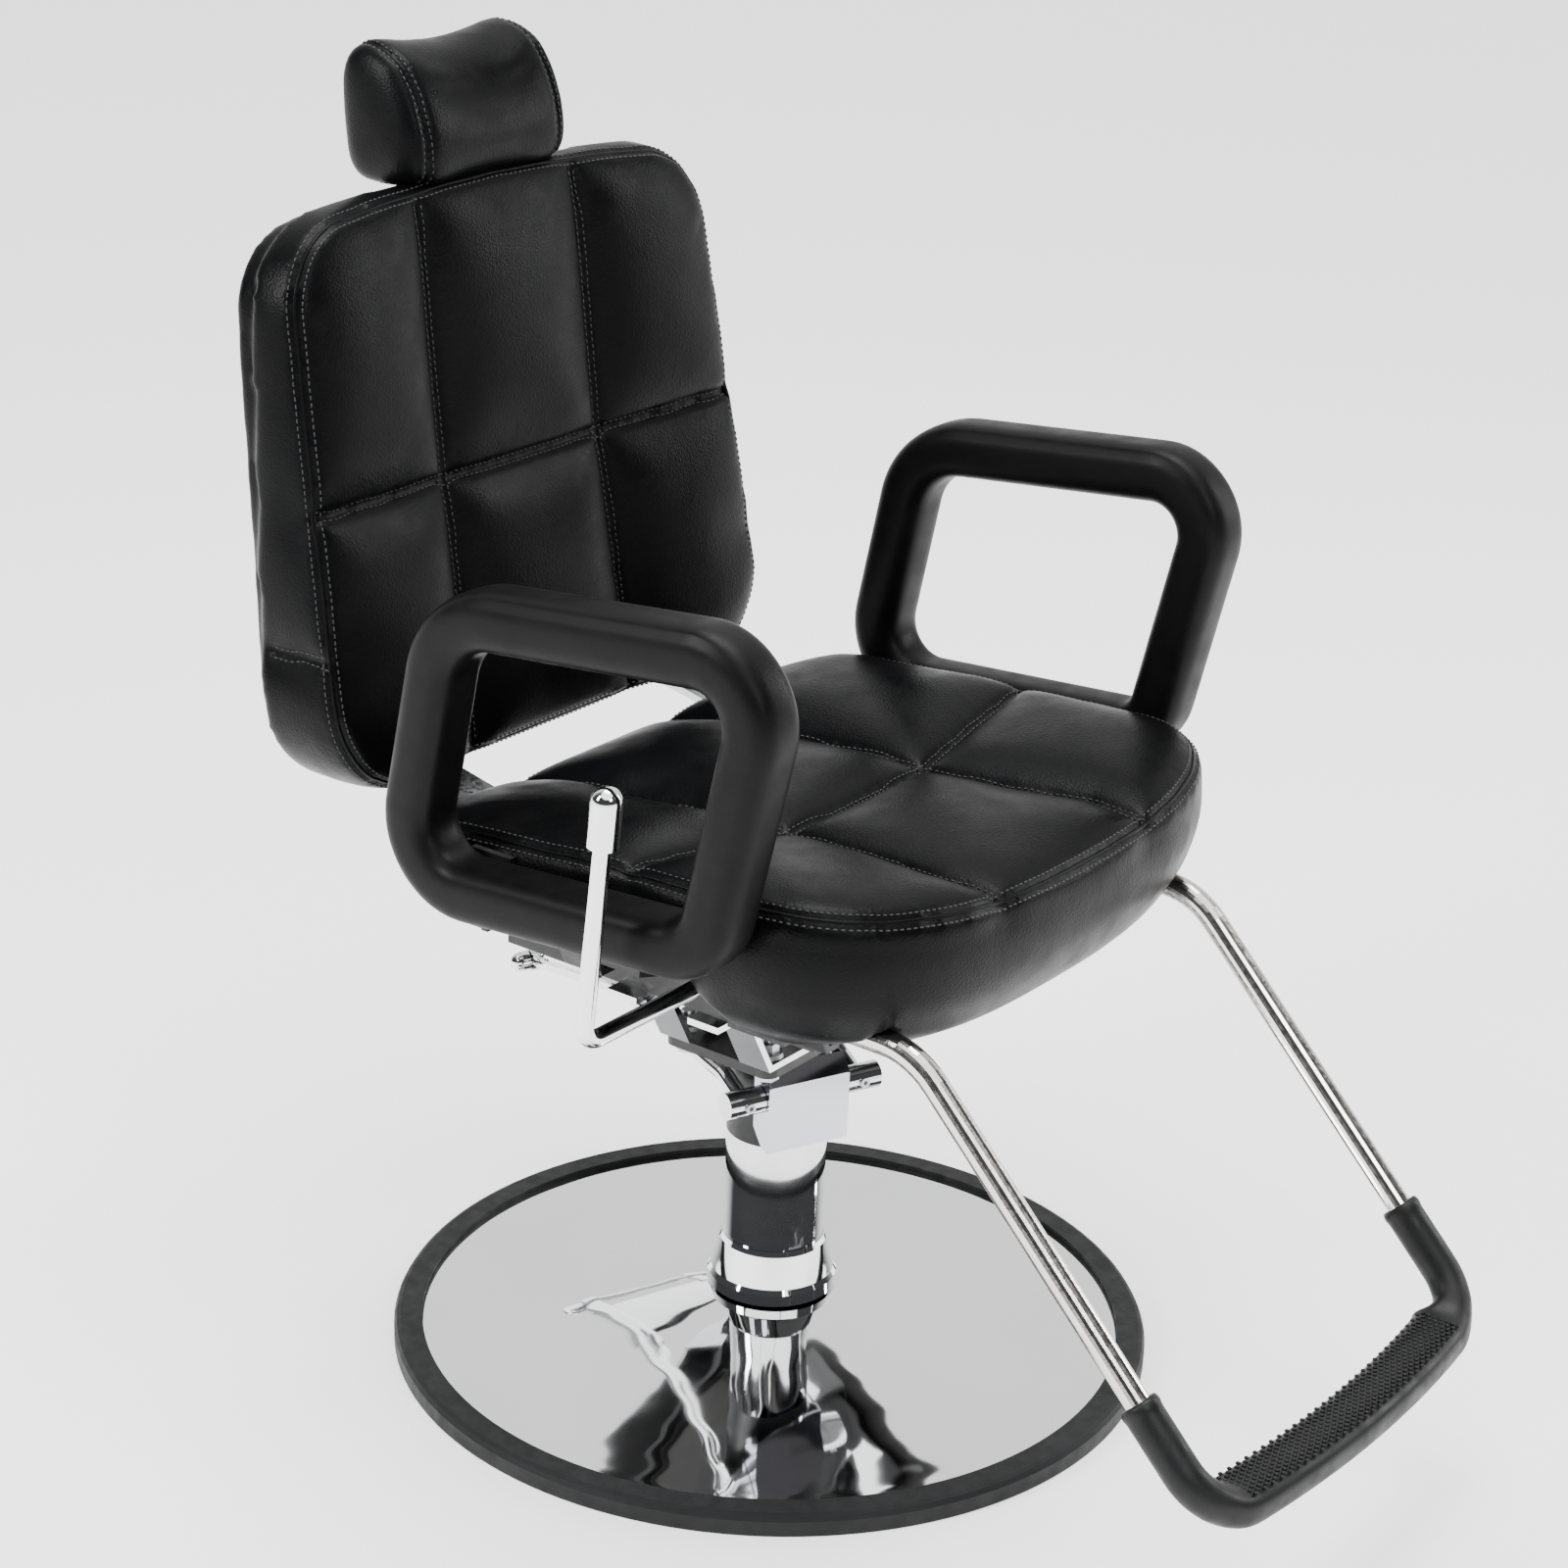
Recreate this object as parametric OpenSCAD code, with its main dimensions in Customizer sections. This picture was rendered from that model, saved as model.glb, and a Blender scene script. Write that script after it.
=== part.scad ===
// Hydraulic barber chair. Millimetres, +Z up, origin on the floor at the pump axis.
// The sitter faces -Y, and the sitter's right hand is at -X.

/* [Base] */
// Outer radius of the round base
base_r = 295; // [270:1:330]
// Height of the rubber ring round the base
ring_h = 17; // [14:1:24]
// Width of the rubber ring
ring_w = 33; // [26:1:44]
// Height of the dished cover where it meets the collar
dish_top = 46; // [38:1:60]

/* [Pump] */
// Outer radius of the fixed column
column_r = 39; // [34:0.5:46]
// Height of the top of the fixed column
column_top = 178; // [165:1:200]
// How far the pump raises the seat
lift = 140; // [100:5:140]
// Turn of the pump head and pedal away from the seat's centre line
pump_turn = 23; // [0:1:40]
// Reach of the pedal behind its shaft
pedal_reach = 356; // [330:2:380]

/* [Seat] */
// Height of the underside of the seat frame
frame_z = 330; // [322:1:345]
// Width of the seat cushion
seat_w = 492; // [470:2:520]
// Distance from the pump axis to the front of the seat cushion
seat_front = 258; // [240:1:275]
// Distance from the pump axis to the back of the seat cushion
seat_rear = 196; // [190:1:200]
// Thickness of the seat cushion
seat_t = 120; // [105:1:135]

/* [Armrests] */
// Width of the armrest loop's bar, across the chair
arm_w = 46; // [38:1:52]
// Depth of the armrest loop's bar, in its own plane
arm_t = 43; // [36:1:48]
// Gap between the seat cushion and an armrest
arm_gap = 9; // [8:0.5:16]
// Height of the armrest's front top corner above the frame
arm_rise = 347; // [335:1:365]

/* [Footrest] */
// Outer radius of the footrest tube
foot_r = 9.5; // [8:0.5:11]
// Half the distance between the footrest tube's two legs
foot_x = 182; // [180:1:186]
// Slope of the footrest's legs below the horizontal
foot_slope = 45.6; // [40:0.2:52]
// Length of the sloping leg
foot_leg = 371; // [330:1:385]

/* [Backrest] */
// Width of the backrest
back_w = 486; // [440:2:500]
// Height of the backrest along its face
back_h = 414; // [400:2:430]
// Lean of the backrest's face when upright
back_tilt = 9.7; // [8:0.1:11]
// Lean of the backrest's rear and of the headrest's posts
rear_tilt = 4; // [3:0.1:6]
// Narrowing of the backrest towards its top, on each side
back_taper = 16; // [0:1:24]
// Depth of the curve across the backrest's face
back_dish = 18; // [8:1:24]
// Furthest recline from upright
recline = 40; // [20:1:45]

/* [Headrest] */
// Width of the headrest
head_w = 172; // [150:2:220]
// Height of the headrest
head_h = 108; // [90:1:120]
// How far the headrest pulls up
head_lift = 60; // [30:5:60]

/* [Hidden] */
$fn = 64;
fit = 0.05;
slack = 0.3;
steel = 5;

plate_h = 6;
dish_t = 2;
tube_wall = 3;
piston_r = column_r - tube_wall - 6;
bush_h = column_top - lift - 10;
head_z = column_top + 0.6;
head_top = head_z + 67;
washer_z = head_top + 6.4;
plate_z = washer_z + 10;
plate_t = 8;
spindle_r = 16;
shaft_y = -34;
shaft_z = head_z + 45.4;
shaft_r = 6;
hub_r = 10.5;
hub_in = 35;
hub_len = 30;
pedal_x = hub_in + hub_len / 2;
pedal_rod = 6.5;

rail_x = 120;
rail_w = 25;
rail_h = 22;
rail_top = frame_z + rail_h;
board_t = 10;
cushion_z = rail_top + board_t + slack;
seat_hw = seat_w / 2;
arm_in = seat_hw + arm_gap;
arm_mid = arm_in + arm_w / 2;

pivot_y = seat_rear + 15;
pivot_z = frame_z + 55;
pin_r = 6;
knuckle_r = 11;
near_in = -88;
near_out = -148;
far_in = 168;
far_out = 208;
lock_x = -93;
lock_z = frame_z + 8;
lock_drop = pivot_z - lock_z;
half_swing = recline / 2;
lock_pin_y = pivot_y + lock_drop * tan(half_swing);
lock_pin_r = 4;

back_y = seat_rear + 20;
back_z = frame_z + 130;
rear_y = seat_rear + 88;
back_board_t = 10;
bracket_t = 6;
post_x = 28;
post_y = 8.5;
post_r = 5;
post_len = head_lift + 24;

socket_y = -150;
socket_z = frame_z + 57;
bend_y = -248;
bar_y = bend_y - foot_leg * cos(foot_slope);
bar_z = socket_z - foot_leg * sin(foot_slope);

lever_x = -(arm_in + arm_w + 25);
lever_y = -76;
lever_z = frame_z + 60;
lever_r = 6.5;
lever_lean = 5.5;
lever_h = 174;

black = "#17181a";
chrome = "#d9dcdf";
dark_steel = "#3a3c40";
rubber = "#2b2d30";

// A round shaft or hole along Z
module rod(r, h) {
    cylinder(r = r, h = h);
}

// Turns a shape drawn in XY and raised along Z into the YZ plane, raised along X
module to_yz() {
    rotate([90, 0, 90]) children();
}

// Turns a shape drawn in XY and raised along Z into the XZ plane, raised along -Y
module to_xz() {
    rotate([90, 0, 0]) children();
}

// A rod along X from x0 to x1 at (y, z)
module rod_x(r, x0, x1, y, z) {
    translate([x0, y, z]) rotate([0, 90, 0]) rod(r, x1 - x0);
}

// A rod along Y from y0 to y1 at (x, z)
module rod_y(r, y0, y1, x, z) {
    translate([x, y0, z]) rotate([-90, 0, 0]) rod(r, y1 - y0);
}

// A rectangle of size w by h with corners of radius r, centred
module round_rect(w, h, r) {
    square([w - 2 * r, h], center = true);
    square([w, h - 2 * r], center = true);
    for (sx = [-1, 1], sy = [-1, 1])
        translate([sx * (w / 2 - r), sy * (h / 2 - r)]) circle(r = r);
}

// A bent strip of thickness t along the points pts
function left_of(a, b) = let (d = (b - a) / norm(b - a)) [-d.y, d.x];

// Mitred corners of a strip's edge at distance e from the line through p
function strip_edge(p, e) = [for (i = [0 : len(p) - 1]) let (
    m = left_of(p[max(i - 1, 0)], p[max(i, 1)]),
    n = left_of(p[min(i, len(p) - 2)], p[min(i + 1, len(p) - 1)]))
    p[i] + e * (m + n) / (1 + m * n)];

module strip(pts, t) {
    back = strip_edge(pts, -t / 2);
    polygon(concat(strip_edge(pts, t / 2), [for (i = [len(back) - 1 : -1 : 0]) back[i]]));
}

function unit(v) = v / norm(v);

// Points along p with bends of radius r[i] at each point, k steps to a bend
function bend(p, r, i, n, k) = let (
        d1 = unit(p[i] - p[(i + n - 1) % n]),
        d2 = unit(p[(i + 1) % n] - p[i]),
        a = acos(d1 * d2),
        side = unit(d2 - (d1 * d2) * d1),
        start = p[i] - d1 * r[i] * tan(a / 2))
    [for (j = [0 : k]) start + r[i] * (side * (1 - cos(a * j / k)) + d1 * sin(a * j / k))];

function route(p, r, closed = false, k = 7) = let (n = len(p)) [
    for (i = [0 : n - 1]) each closed || (i > 0 && i < n - 1) ? bend(p, r, i, n, k) : [p[i]]];

function tangent(q, i, closed) = let (n = len(q))
    closed ? unit(q[(i + 1) % n] - q[(i + n - 1) % n])
        : unit(q[min(i + 1, n - 1)] - q[max(i - 1, 0)]);

// Carries the section's first axis u along the route without twisting it
function carry(q, u, closed, i = 0, out = []) = i == len(q) ? out
    : let (t = tangent(q, i, closed), v = unit(u - (u * t) * t))
        carry(q, v, closed, i + 1, concat(out, [[v, cross(t, v)]]));

// Sweeps a closed section along the route q; u is the section's X axis at the start
module sweep(q, section, u, closed = false) {
    n = len(q);
    m = len(section);
    axes = carry(q, u, closed);
    points = [for (i = [0 : n - 1], s = section) q[i] + s.x * axes[i][0] + s.y * axes[i][1]];
    walls = [for (i = [0 : closed ? n - 1 : n - 2], j = [0 : m - 1]) let (
            a = i * m + j, b = i * m + (j + 1) % m, c = (i + 1) % n * m)
        each [[a, c + j, b], [b, c + j, c + (j + 1) % m]]];
    ends = closed ? [] : [[for (j = [0 : m - 1]) j], [for (j = [m - 1 : -1 : 0]) (n - 1) * m + j]];
    polyhedron(points, concat(walls, ends), convexity = 6);
}

function disc(r, n) = [for (i = [0 : n - 1]) r * [cos(360 * i / n), sin(360 * i / n)]];

// A rectangle of size w by h with rounded corners, as points
function round_corners(w, h, r, n) = [for (q = [0 : 3], i = [0 : n]) let (a = 90 * q + 90 * i / n)
    [(q == 0 || q == 3 ? 1 : -1) * (w / 2 - r) + r * cos(a),
        (q < 2 ? 1 : -1) * (h / 2 - r) + r * sin(a)]];

// ---------- Base ----------

function dish_z(r, inner, outer) = ring_h - 4 + (dish_top - ring_h + 4)
    * pow((outer - r) / (outer - inner), 1.6);

module base_plate() {
    color(dark_steel) difference() {
        rod(base_r - ring_w - 0.5, plate_h);
        for (a = [45 : 90 : 315]) rotate([0, 0, a]) translate([52, 0, -1]) {
            rod(4.5, plate_h + 2);
            rod(8.5, 5);
        }
    }
}

module base_ring() {
    inner = base_r - ring_w;
    ledge = base_r - 22;
    color(rubber) rotate_extrude($fn = 128) polygon([[inner, 0], [base_r, 0], [base_r, ring_h - 5],
        [base_r - 2, ring_h - 1.5], [base_r - 5, ring_h], [ledge, ring_h], [ledge, ring_h - 6],
        [inner, ring_h - 6]]);
}

module base_dish() {
    outer = base_r - 22.5;
    inner = column_r + 1;
    steps = 20;
    top = [for (i = [0 : steps]) let (r = outer + (inner - outer) * i / steps)
        [r, dish_z(r, inner, outer)]];
    under = [for (i = [steps : -1 : 0]) top[i] - [0, dish_t]];
    color(chrome) rotate_extrude($fn = 128) polygon(concat(top, under));
}

module base_bolts() {
    color(dark_steel) for (a = [45 : 90 : 315]) rotate([0, 0, a]) translate([52, 0, 0]) {
        translate([0, 0, 1]) rod(8, 2.95);
        translate([0, 0, 3.9]) rod(4, plate_h + 6.1);
    }
}

module column_tube() {
    color(chrome) difference() {
        union() {
            translate([0, 0, plate_h]) rod(column_r, column_top - plate_h);
            translate([0, 0, plate_h]) rod(64, 8);
        }
        translate([0, 0, plate_h + 4]) rod(column_r - tube_wall, column_top);
        for (a = [45 : 90 : 315]) rotate([0, 0, a]) translate([52, 0, plate_h - 1]) rod(4.02, 10);
    }
}

module column_collar() {
    inner = column_r + 0.2;
    low = dish_top + 0.6;
    color(chrome) rotate_extrude($fn = 96) polygon([[inner, low], [column_r + 11.5, low],
        [column_r + 11.5, low + 9], [column_r + 9, low + 13], [column_r + 3, low + 38],
        [column_r + 1.5, low + 42], [inner, low + 42]]);
}

module guide_bush() {
    color("#8c7a4a") translate([0, 0, column_top - bush_h]) difference() {
        rod(column_r - tube_wall - 0.02, bush_h);
        translate([0, 0, -1]) rod(piston_r + fit, bush_h + 2);
    }
}

// ---------- Pump ----------

module turned() {
    rotate([0, 0, -pump_turn]) children();
}

module piston() {
    color(chrome) translate([0, 0, 18]) rod(piston_r, head_z - 18);
}

module pump_head() {
    color(chrome) turned() difference() {
        union() {
            translate([0, 0, head_z]) rod(column_r, head_top - head_z);
            translate([-30, shaft_y - 9, shaft_z - 12]) cube([60, 30, 25]);
            translate([0, 0, head_top]) rod(24, 6);
            rod_up = plate_z + 28;
            translate([0, 0, head_top]) rod(spindle_r, rod_up - head_top);
        }
        rod_x(shaft_r + fit, -60, 60, shaft_y, shaft_z);
    }
}

module thrust_washer() {
    color("#8c7a4a") translate([0, 0, washer_z]) difference() {
        rod(30, 9.4);
        translate([0, 0, -1]) rod(spindle_r + 0.1, 12);
    }
}

module spindle_nut() {
    color(dark_steel) translate([0, 0, plate_z + plate_t + slack]) difference() {
        cylinder(r = 20, h = 10, $fn = 6);
        translate([0, 0, -1]) rod(spindle_r + 0.02, 12);
    }
}

module head_cover() {
    sheet = 2;
    half = 33;
    front = shaft_y - 12;
    low = head_z + 4;
    brow = shaft_z + 13;
    top = head_top + 5;
    lip = front + 10;
    skin = [[front, low], [front, brow], [lip, top]];
    color(chrome) turned() {
        translate([-half, 0, 0]) to_yz() linear_extrude(2 * half) strip(skin, sheet);
        difference() {
            for (s = [-1, 1]) translate([s * (half + sheet / 2) - sheet / 2, 0, 0]) to_yz()
                linear_extrude(sheet) polygon([[front - 1, low], [front - 1, brow],
                    [lip - 1, top], [lip + 16, top], [lip + 12, brow], [lip + 12, low + 14],
                    [lip - 2, low]]);
            rod_x(shaft_r + 1.5, -half - 5, half + 5, shaft_y, shaft_z);
        }
    }
}

module lever_shaft() {
    end = hub_in + hub_len;
    color(chrome) turned() rod_x(shaft_r, -end, end, shaft_y, shaft_z);
}

module both_hubs(r, from, to) {
    for (s = [-1, 1]) rod_x(r, s > 0 ? from : -to, s > 0 ? to : -from, shaft_y, shaft_z);
}

module lever_hubs() {
    color(chrome) turned() difference() {
        both_hubs(hub_r, hub_in + 0.5, hub_in + hub_len + 1);
        both_hubs(shaft_r + 0.02, hub_in - 1, hub_in + hub_len);
        for (s = [-1, 1]) rod_y(4.02, shaft_y - 20, shaft_y - shaft_r - 0.5, s * pedal_x, shaft_z);
    }
}

module hub_screws() {
    color(chrome) turned() for (s = [-1, 1]) difference() {
        rod_y(4, shaft_y - hub_r - 2, shaft_y - shaft_r - 0.6, s * pedal_x, shaft_z);
        rod_y(1.8, shaft_y - hub_r - 3, shaft_y - hub_r + 1, s * pedal_x, shaft_z);
    }
}

tail_y = shaft_y + pedal_reach;
tail_z = shaft_z - 28;
crest_y = shaft_y + 195;
crest_z = shaft_z + 13;
fall = atan2(crest_z - tail_z, tail_y - crest_y);
tread_l = norm([tail_y - crest_y, crest_z - tail_z]) - 62;

module pump_arms() {
    color(chrome) turned() difference() {
        for (s = [-1, 1]) {
            x = s * pedal_x;
            path = [[x, shaft_y + 4, shaft_z + 2], [x, shaft_y + 30, crest_z - 2],
                [x, crest_y, crest_z], [x, tail_y, tail_z]];
            sweep(route(path, [0, 24, 90, 0], k = 5), disc(pedal_rod, 20), [1, 0, 0]);
            rod_x(10, x - 6, x + 6, tail_y, tail_z);
        }
        both_hubs(hub_r + 0.02, hub_in - 5, hub_in + hub_len + 5);
        rod_x(5.02, -80, 80, tail_y, tail_z);
    }
}

module treadle_plate() {
    width = 2 * pedal_x + 2 * pedal_rod;
    color(chrome) turned() translate([0, crest_y, crest_z]) rotate([-fall, 0, 0]) {
        translate([-width / 2, 40, pedal_rod + 0.05]) cube([width, tread_l, 3]);
        for (i = [0 : 3]) translate([-width / 2 + 10, 56 + i * (tread_l - 38) / 3, pedal_rod + 3.05])
            cube([width - 20, 5, 1.5]);
    }
}

module pedal_rod() {
    color(chrome) turned() rod_x(5, -pedal_x - 13, pedal_x + 13, tail_y, tail_z);
}

module pedal_nuts() {
    color(chrome) turned() difference() {
        for (s = [-1, 1]) {
            rod_x(8.5, s > 0 ? pedal_x + 6.8 : -pedal_x - 14, s > 0 ? pedal_x + 14 : -pedal_x - 6.8,
                tail_y, tail_z);
            translate([s * (pedal_x + 14), tail_y, tail_z]) sphere(r = 8, $fn = 32);
        }
        rod_x(5.02, -pedal_x - 13.5, pedal_x + 13.5, tail_y, tail_z);
    }
}

// ---------- Seat frame ----------

bolt_x = 66;
bolt_y = 38;

module top_plate() {
    color(dark_steel) translate([0, 0, plate_z]) difference() {
        linear_extrude(plate_t) round_rect(2 * bolt_x + 28, 2 * bolt_y + 26, 10);
        translate([0, 0, -1]) rod(spindle_r + fit, plate_t + 2);
        for (sx = [-1, 1], sy = [-1, 1]) translate([sx * bolt_x, sy * bolt_y, -1]) rod(5.2, 12);
    }
}

module plate_bolts() {
    top = plate_z + plate_t + steel;
    color(chrome) for (sx = [-1, 1], sy = [-1, 1]) translate([sx * bolt_x, sy * bolt_y, 0]) {
        translate([0, 0, plate_z - 6.1]) cylinder(r = 9, h = 6, $fn = 6);
        translate([0, 0, plate_z - 0.1]) rod(5, plate_t + steel + 14);
        translate([0, 0, top + 0.1]) cylinder(r1 = 12, r2 = 11, h = 3);
        translate([0, 0, top + 3.1]) cylinder(r = 8.5, h = 8, $fn = 6);
    }
}

module mount_straps() {
    low = plate_z + plate_t + steel / 2 + 0.05;
    high = frame_z - steel / 2 - 0.05;
    path = [[-146, high], [-110, high], [-80, low], [80, low], [110, high], [146, high]];
    color(dark_steel) difference() {
        for (s = [-1, 1]) translate([0, s * bolt_y + 14, 0]) to_xz() linear_extrude(28)
            strip(path, steel);
        for (sx = [-1, 1], sy = [-1, 1])
            translate([sx * bolt_x, sy * bolt_y, low - 10]) rod(5.2, 20);
    }
}

module seat_rail(side) {
    color(dark_steel) translate([side * rail_x - rail_w / 2, -128, frame_z])
        cube([rail_w, seat_rear + 92, rail_h]);
}

module front_crossbar() {
    gap = 2 * rail_x - rail_w;
    color(dark_steel) translate([-gap / 2, -128, frame_z]) cube([gap, 28, rail_h]);
}

module rear_crossbar() {
    color(dark_steel) translate([near_out - 8, seat_rear - 35.9, frame_z + 16])
        cube([far_out - near_out + 16, 6, 15]);
}

strap_y = [-66, 52];
strap_w = 36;

module arm_straps() {
    path = [[rail_x + rail_w / 2 + 0.1, frame_z + 14], [rail_x + 30, frame_z + 14],
        [rail_x + 52, frame_z + 60], [arm_in - 3, frame_z + 84], [arm_in - 3, frame_z + 137]];
    color(dark_steel) difference() {
        for (s = [0, 1], y = strap_y) mirror([s, 0, 0]) translate([0, y + strap_w, 0]) to_xz()
            linear_extrude(strap_w) strip(path, steel);
        for (y = strap_y) rod_x(4.1, -arm_in - 5, arm_in + 5, y + strap_w / 2, frame_z + 122);
    }
}

module arm_bolts() {
    color(dark_steel) for (s = [0, 1], y = strap_y) mirror([s, 0, 0]) {
        rod_x(4, arm_in - 5.5, arm_in + 20, y + strap_w / 2, frame_z + 122);
    }
}

// Corners of the armrest loop's centre line, as (y, z)
arm_path = [[-146, frame_z + 132], [-194, frame_z + arm_rise], [86, frame_z + arm_rise - 28],
    [126, frame_z + 113]];
arm_bend = [38, 44, 62, 48];

module armrest(side) {
    path = [for (p = arm_path) [side * arm_mid, p.x, p.y]];
    section = round_corners(arm_w, arm_t, 14, 4);
    color(black) difference() {
        sweep(route(path, arm_bend, closed = true), section, [1, 0, 0], closed = true);
        for (y = strap_y) rod_x(4.02, side > 0 ? arm_in - 5 : -arm_in - 21,
            side > 0 ? arm_in + 21 : -arm_in + 5, y + strap_w / 2, frame_z + 122);
    }
}

module seat_board() {
    color("#a98a5c") translate([-136, -186, rail_top + 0.05]) cube([272, seat_rear + 136, board_t]);
}

// Plan of the seat: straight sides, curved front, rounded rear corners
function seat_plan() = concat(
    [for (a = [0 : 15 : 180]) [seat_hw * pow(abs(cos(a)), 0.6) * sign(cos(a)),
        -150 - (seat_front - 150) * pow(sin(a), 0.8)]],
    [for (a = [180 : -15 : 90]) [-seat_hw + 40 + 40 * cos(a), seat_rear - 40 + 40 * sin(a)]],
    [for (a = [90 : -15 : 0]) [seat_hw - 40 + 40 * cos(a), seat_rear - 40 + 40 * sin(a)]]);

module seat_cushion() {
    z = cushion_z;
    side = [[-seat_front + 60, z], [-seat_front + 28, z + 14], [-seat_front + 9, z + 38],
        [-seat_front, z + 74], [-seat_front + 6, z + seat_t - 12],
        [-seat_front + 26, z + seat_t], [90, z + seat_t - 4], [seat_rear - 18, z + seat_t - 28],
        [seat_rear, z + seat_t - 50], [seat_rear - 6, z + 6], [seat_rear - 12, z]];
    half = [[150, z], [198, z + 16], [230, z + 36], [seat_hw, z + 60],
        [seat_hw, z + seat_t - 14], [seat_hw - 14, z + seat_t + 1]];
    across = concat(half, [for (i = [len(half) - 1 : -1 : 0]) [-half[i].x, half[i].y]]);
    // Room below the sides for the straps that carry the arms
    relief = [[148, z - 1], [161, z + 41], [seat_hw + 1, z + 58], [seat_hw + 1, z - 1]];
    color(black) difference() {
        intersection() {
            translate([0, 0, z - 5]) linear_extrude(seat_t + 20) polygon(seat_plan());
            translate([-seat_hw - 10, 0, 0]) to_yz() linear_extrude(seat_w + 20) polygon(side);
            translate([0, seat_rear + 10, 0]) to_xz() linear_extrude(seat_rear + seat_front + 30)
                polygon(across);
        }
        for (s = [-1, 1]) {
            translate([0, seat_rear + 20, 0]) to_xz() linear_extrude(seat_rear + 110)
                polygon([for (p = relief) [s * p.x, p.y]]);
            translate([s * foot_x - 14, -seat_front - 10, z - 1]) cube([28, 200, 42]);
            translate([s * (foot_x - 12) - 32, socket_y - 1, z - 1]) cube([64, 52, 11]);
        }
    }
}

// ---------- Footrest ----------

// The footrest tube's route from x = -foot_x, down, across and up again, from height z0 on
slope = [0, -cos(foot_slope), -sin(foot_slope)];
bend_point = [0, bend_y, socket_z];
bar_point = bend_point + foot_leg * slope;
side_x = [foot_x, 0, 0];
foot_path = [[-foot_x, socket_y + 45, socket_z], bend_point - side_x, bar_point - side_x,
    bar_point + side_x, bend_point + side_x, [foot_x, socket_y + 45, socket_z]];
foot_bend = [0, 62, 42, 42, 62, 0];

module footrest_tube() {
    color(chrome) sweep(route(foot_path, foot_bend), disc(foot_r, 24), [1, 0, 0]);
}

module footrest_sockets() {
    step = [[rail_x + rail_w / 2 + 0.1, frame_z + 14], [rail_x + 26, frame_z + 14],
        [rail_x + 38, frame_z + 38], [foot_x + 16, frame_z + 38]];
    color(black) difference() {
        for (s = [0, 1]) mirror([s, 0, 0]) {
            translate([0, socket_y + 50, 0]) to_xz() linear_extrude(50) strip(step, steel);
            translate([foot_x - 13, socket_y, socket_z - 17]) cube([26, 50, 29]);
        }
        for (s = [-1, 1]) rod_y(foot_r + 0.02, socket_y - 1, socket_y + 45.1, s * foot_x, socket_z);
    }
}

module footrest_pad() {
    bow_r = 1100;
    bow_a = 8.4;
    top = 95;
    bar = round_corners(44, 28, 11, 3);
    leg_top = bar_point - top * slope;
    sleeve = [leg_top - side_x, bar_point - side_x, bar_point + side_x, leg_top + side_x];
    arc = [for (a = [-bow_a : bow_a / 5 : bow_a])
        [bow_r * sin(a), bar_y - 3 + bow_r * (1 - cos(a)), bar_z - 2]];
    color(rubber) difference() {
        union() {
            sweep(route(sleeve, [0, 42, 42, 0]), disc(14, 20), [1, 0, 0]);
            sweep(arc, bar, [0, 1, 0]);
        }
        sweep(route(foot_path, foot_bend), disc(foot_r + 0.1, 24), [1, 0, 0]);
    }
}

// ---------- Recline hinge and lock ----------

module hinge_ears() {
    root = seat_rear - 29.8;
    ear = [[root, frame_z + 17], [pivot_y - 20, frame_z + 17], [pivot_y + 10, frame_z + 46],
        [pivot_y + 10, frame_z + 66], [pivot_y - 10, frame_z + 66],
        [pivot_y - 10, rail_top + 9], [root, rail_top + 9]];
    color(dark_steel) difference() {
        for (x = [near_out - 7.5, near_in + 5, far_in - 7.5, far_out + 1.5])
            translate([x, 0, 0]) to_yz() linear_extrude(6) polygon(ear);
        rod_x(pin_r + 0.02, near_out - 20, far_out + 20, pivot_y, pivot_z);
    }
}

module hinge_pins() {
    color(chrome) {
        rod_x(pin_r, near_out - 10, near_in + 13, pivot_y, pivot_z);
        rod_x(9, near_out - 13, near_out - 8, pivot_y, pivot_z);
        rod_x(pin_r, far_in - 10, far_out + 10, pivot_y, pivot_z);
        rod_x(9, far_out + 8, far_out + 13, pivot_y, pivot_z);
    }
}

module lock_body() {
    color(dark_steel) difference() {
        rod_y(11, -70, 100, lock_x, lock_z);
        rod_y(5 + fit, -20, 101, lock_x, lock_z);
    }
}

module lock_clamps() {
    edge = rail_x - rail_w / 2 - 0.1;
    color(dark_steel) difference() {
        for (y = [-73, 60]) translate([-edge, y, frame_z - 6]) cube([edge + lock_x + 15, 20, 27.5]);
        rod_y(11.02, -71, 101, lock_x, lock_z);
    }
}

module lock_rod() {
    color(chrome) difference() {
        union() {
            rod_y(5, 40, lock_pin_y - 18, lock_x, lock_z);
            translate([lock_x - 8, lock_pin_y - 22, lock_z - 8]) cube([16, 8, 16]);
            for (s = [-1, 1]) translate([lock_x + s * 6 - 2, lock_pin_y - 15, lock_z - 8])
                cube([4, 23, 16]);
        }
        rod_x(lock_pin_r + 0.02, lock_x - 10, lock_x + 10, lock_pin_y, lock_z);
    }
}

module lock_pin() {
    color(chrome) rod_x(lock_pin_r, lock_x - 8, lock_x + 8, lock_pin_y, lock_z);
}

module lever_bearing() {
    post_x1 = -(rail_x + rail_w / 2 + 0.1);
    color(dark_steel) difference() {
        union() {
            rod_x(9.5, -186, -170, lever_y, lever_z);
            translate([-186, lever_y - 9.5, frame_z + 34]) cube([16, 19, 26]);
            translate([-186, lever_y - 9.5, frame_z + 34]) cube([20, 19, 5]);
            translate([-167, lever_y + 9.5, 0]) to_xz() linear_extrude(19)
                strip([[0, frame_z + 36.5], [20, frame_z + 8], [167 + post_x1, frame_z + 8]], steel);
        }
        rod_x(lever_r + fit, -190, -160, lever_y, lever_z);
    }
}

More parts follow.
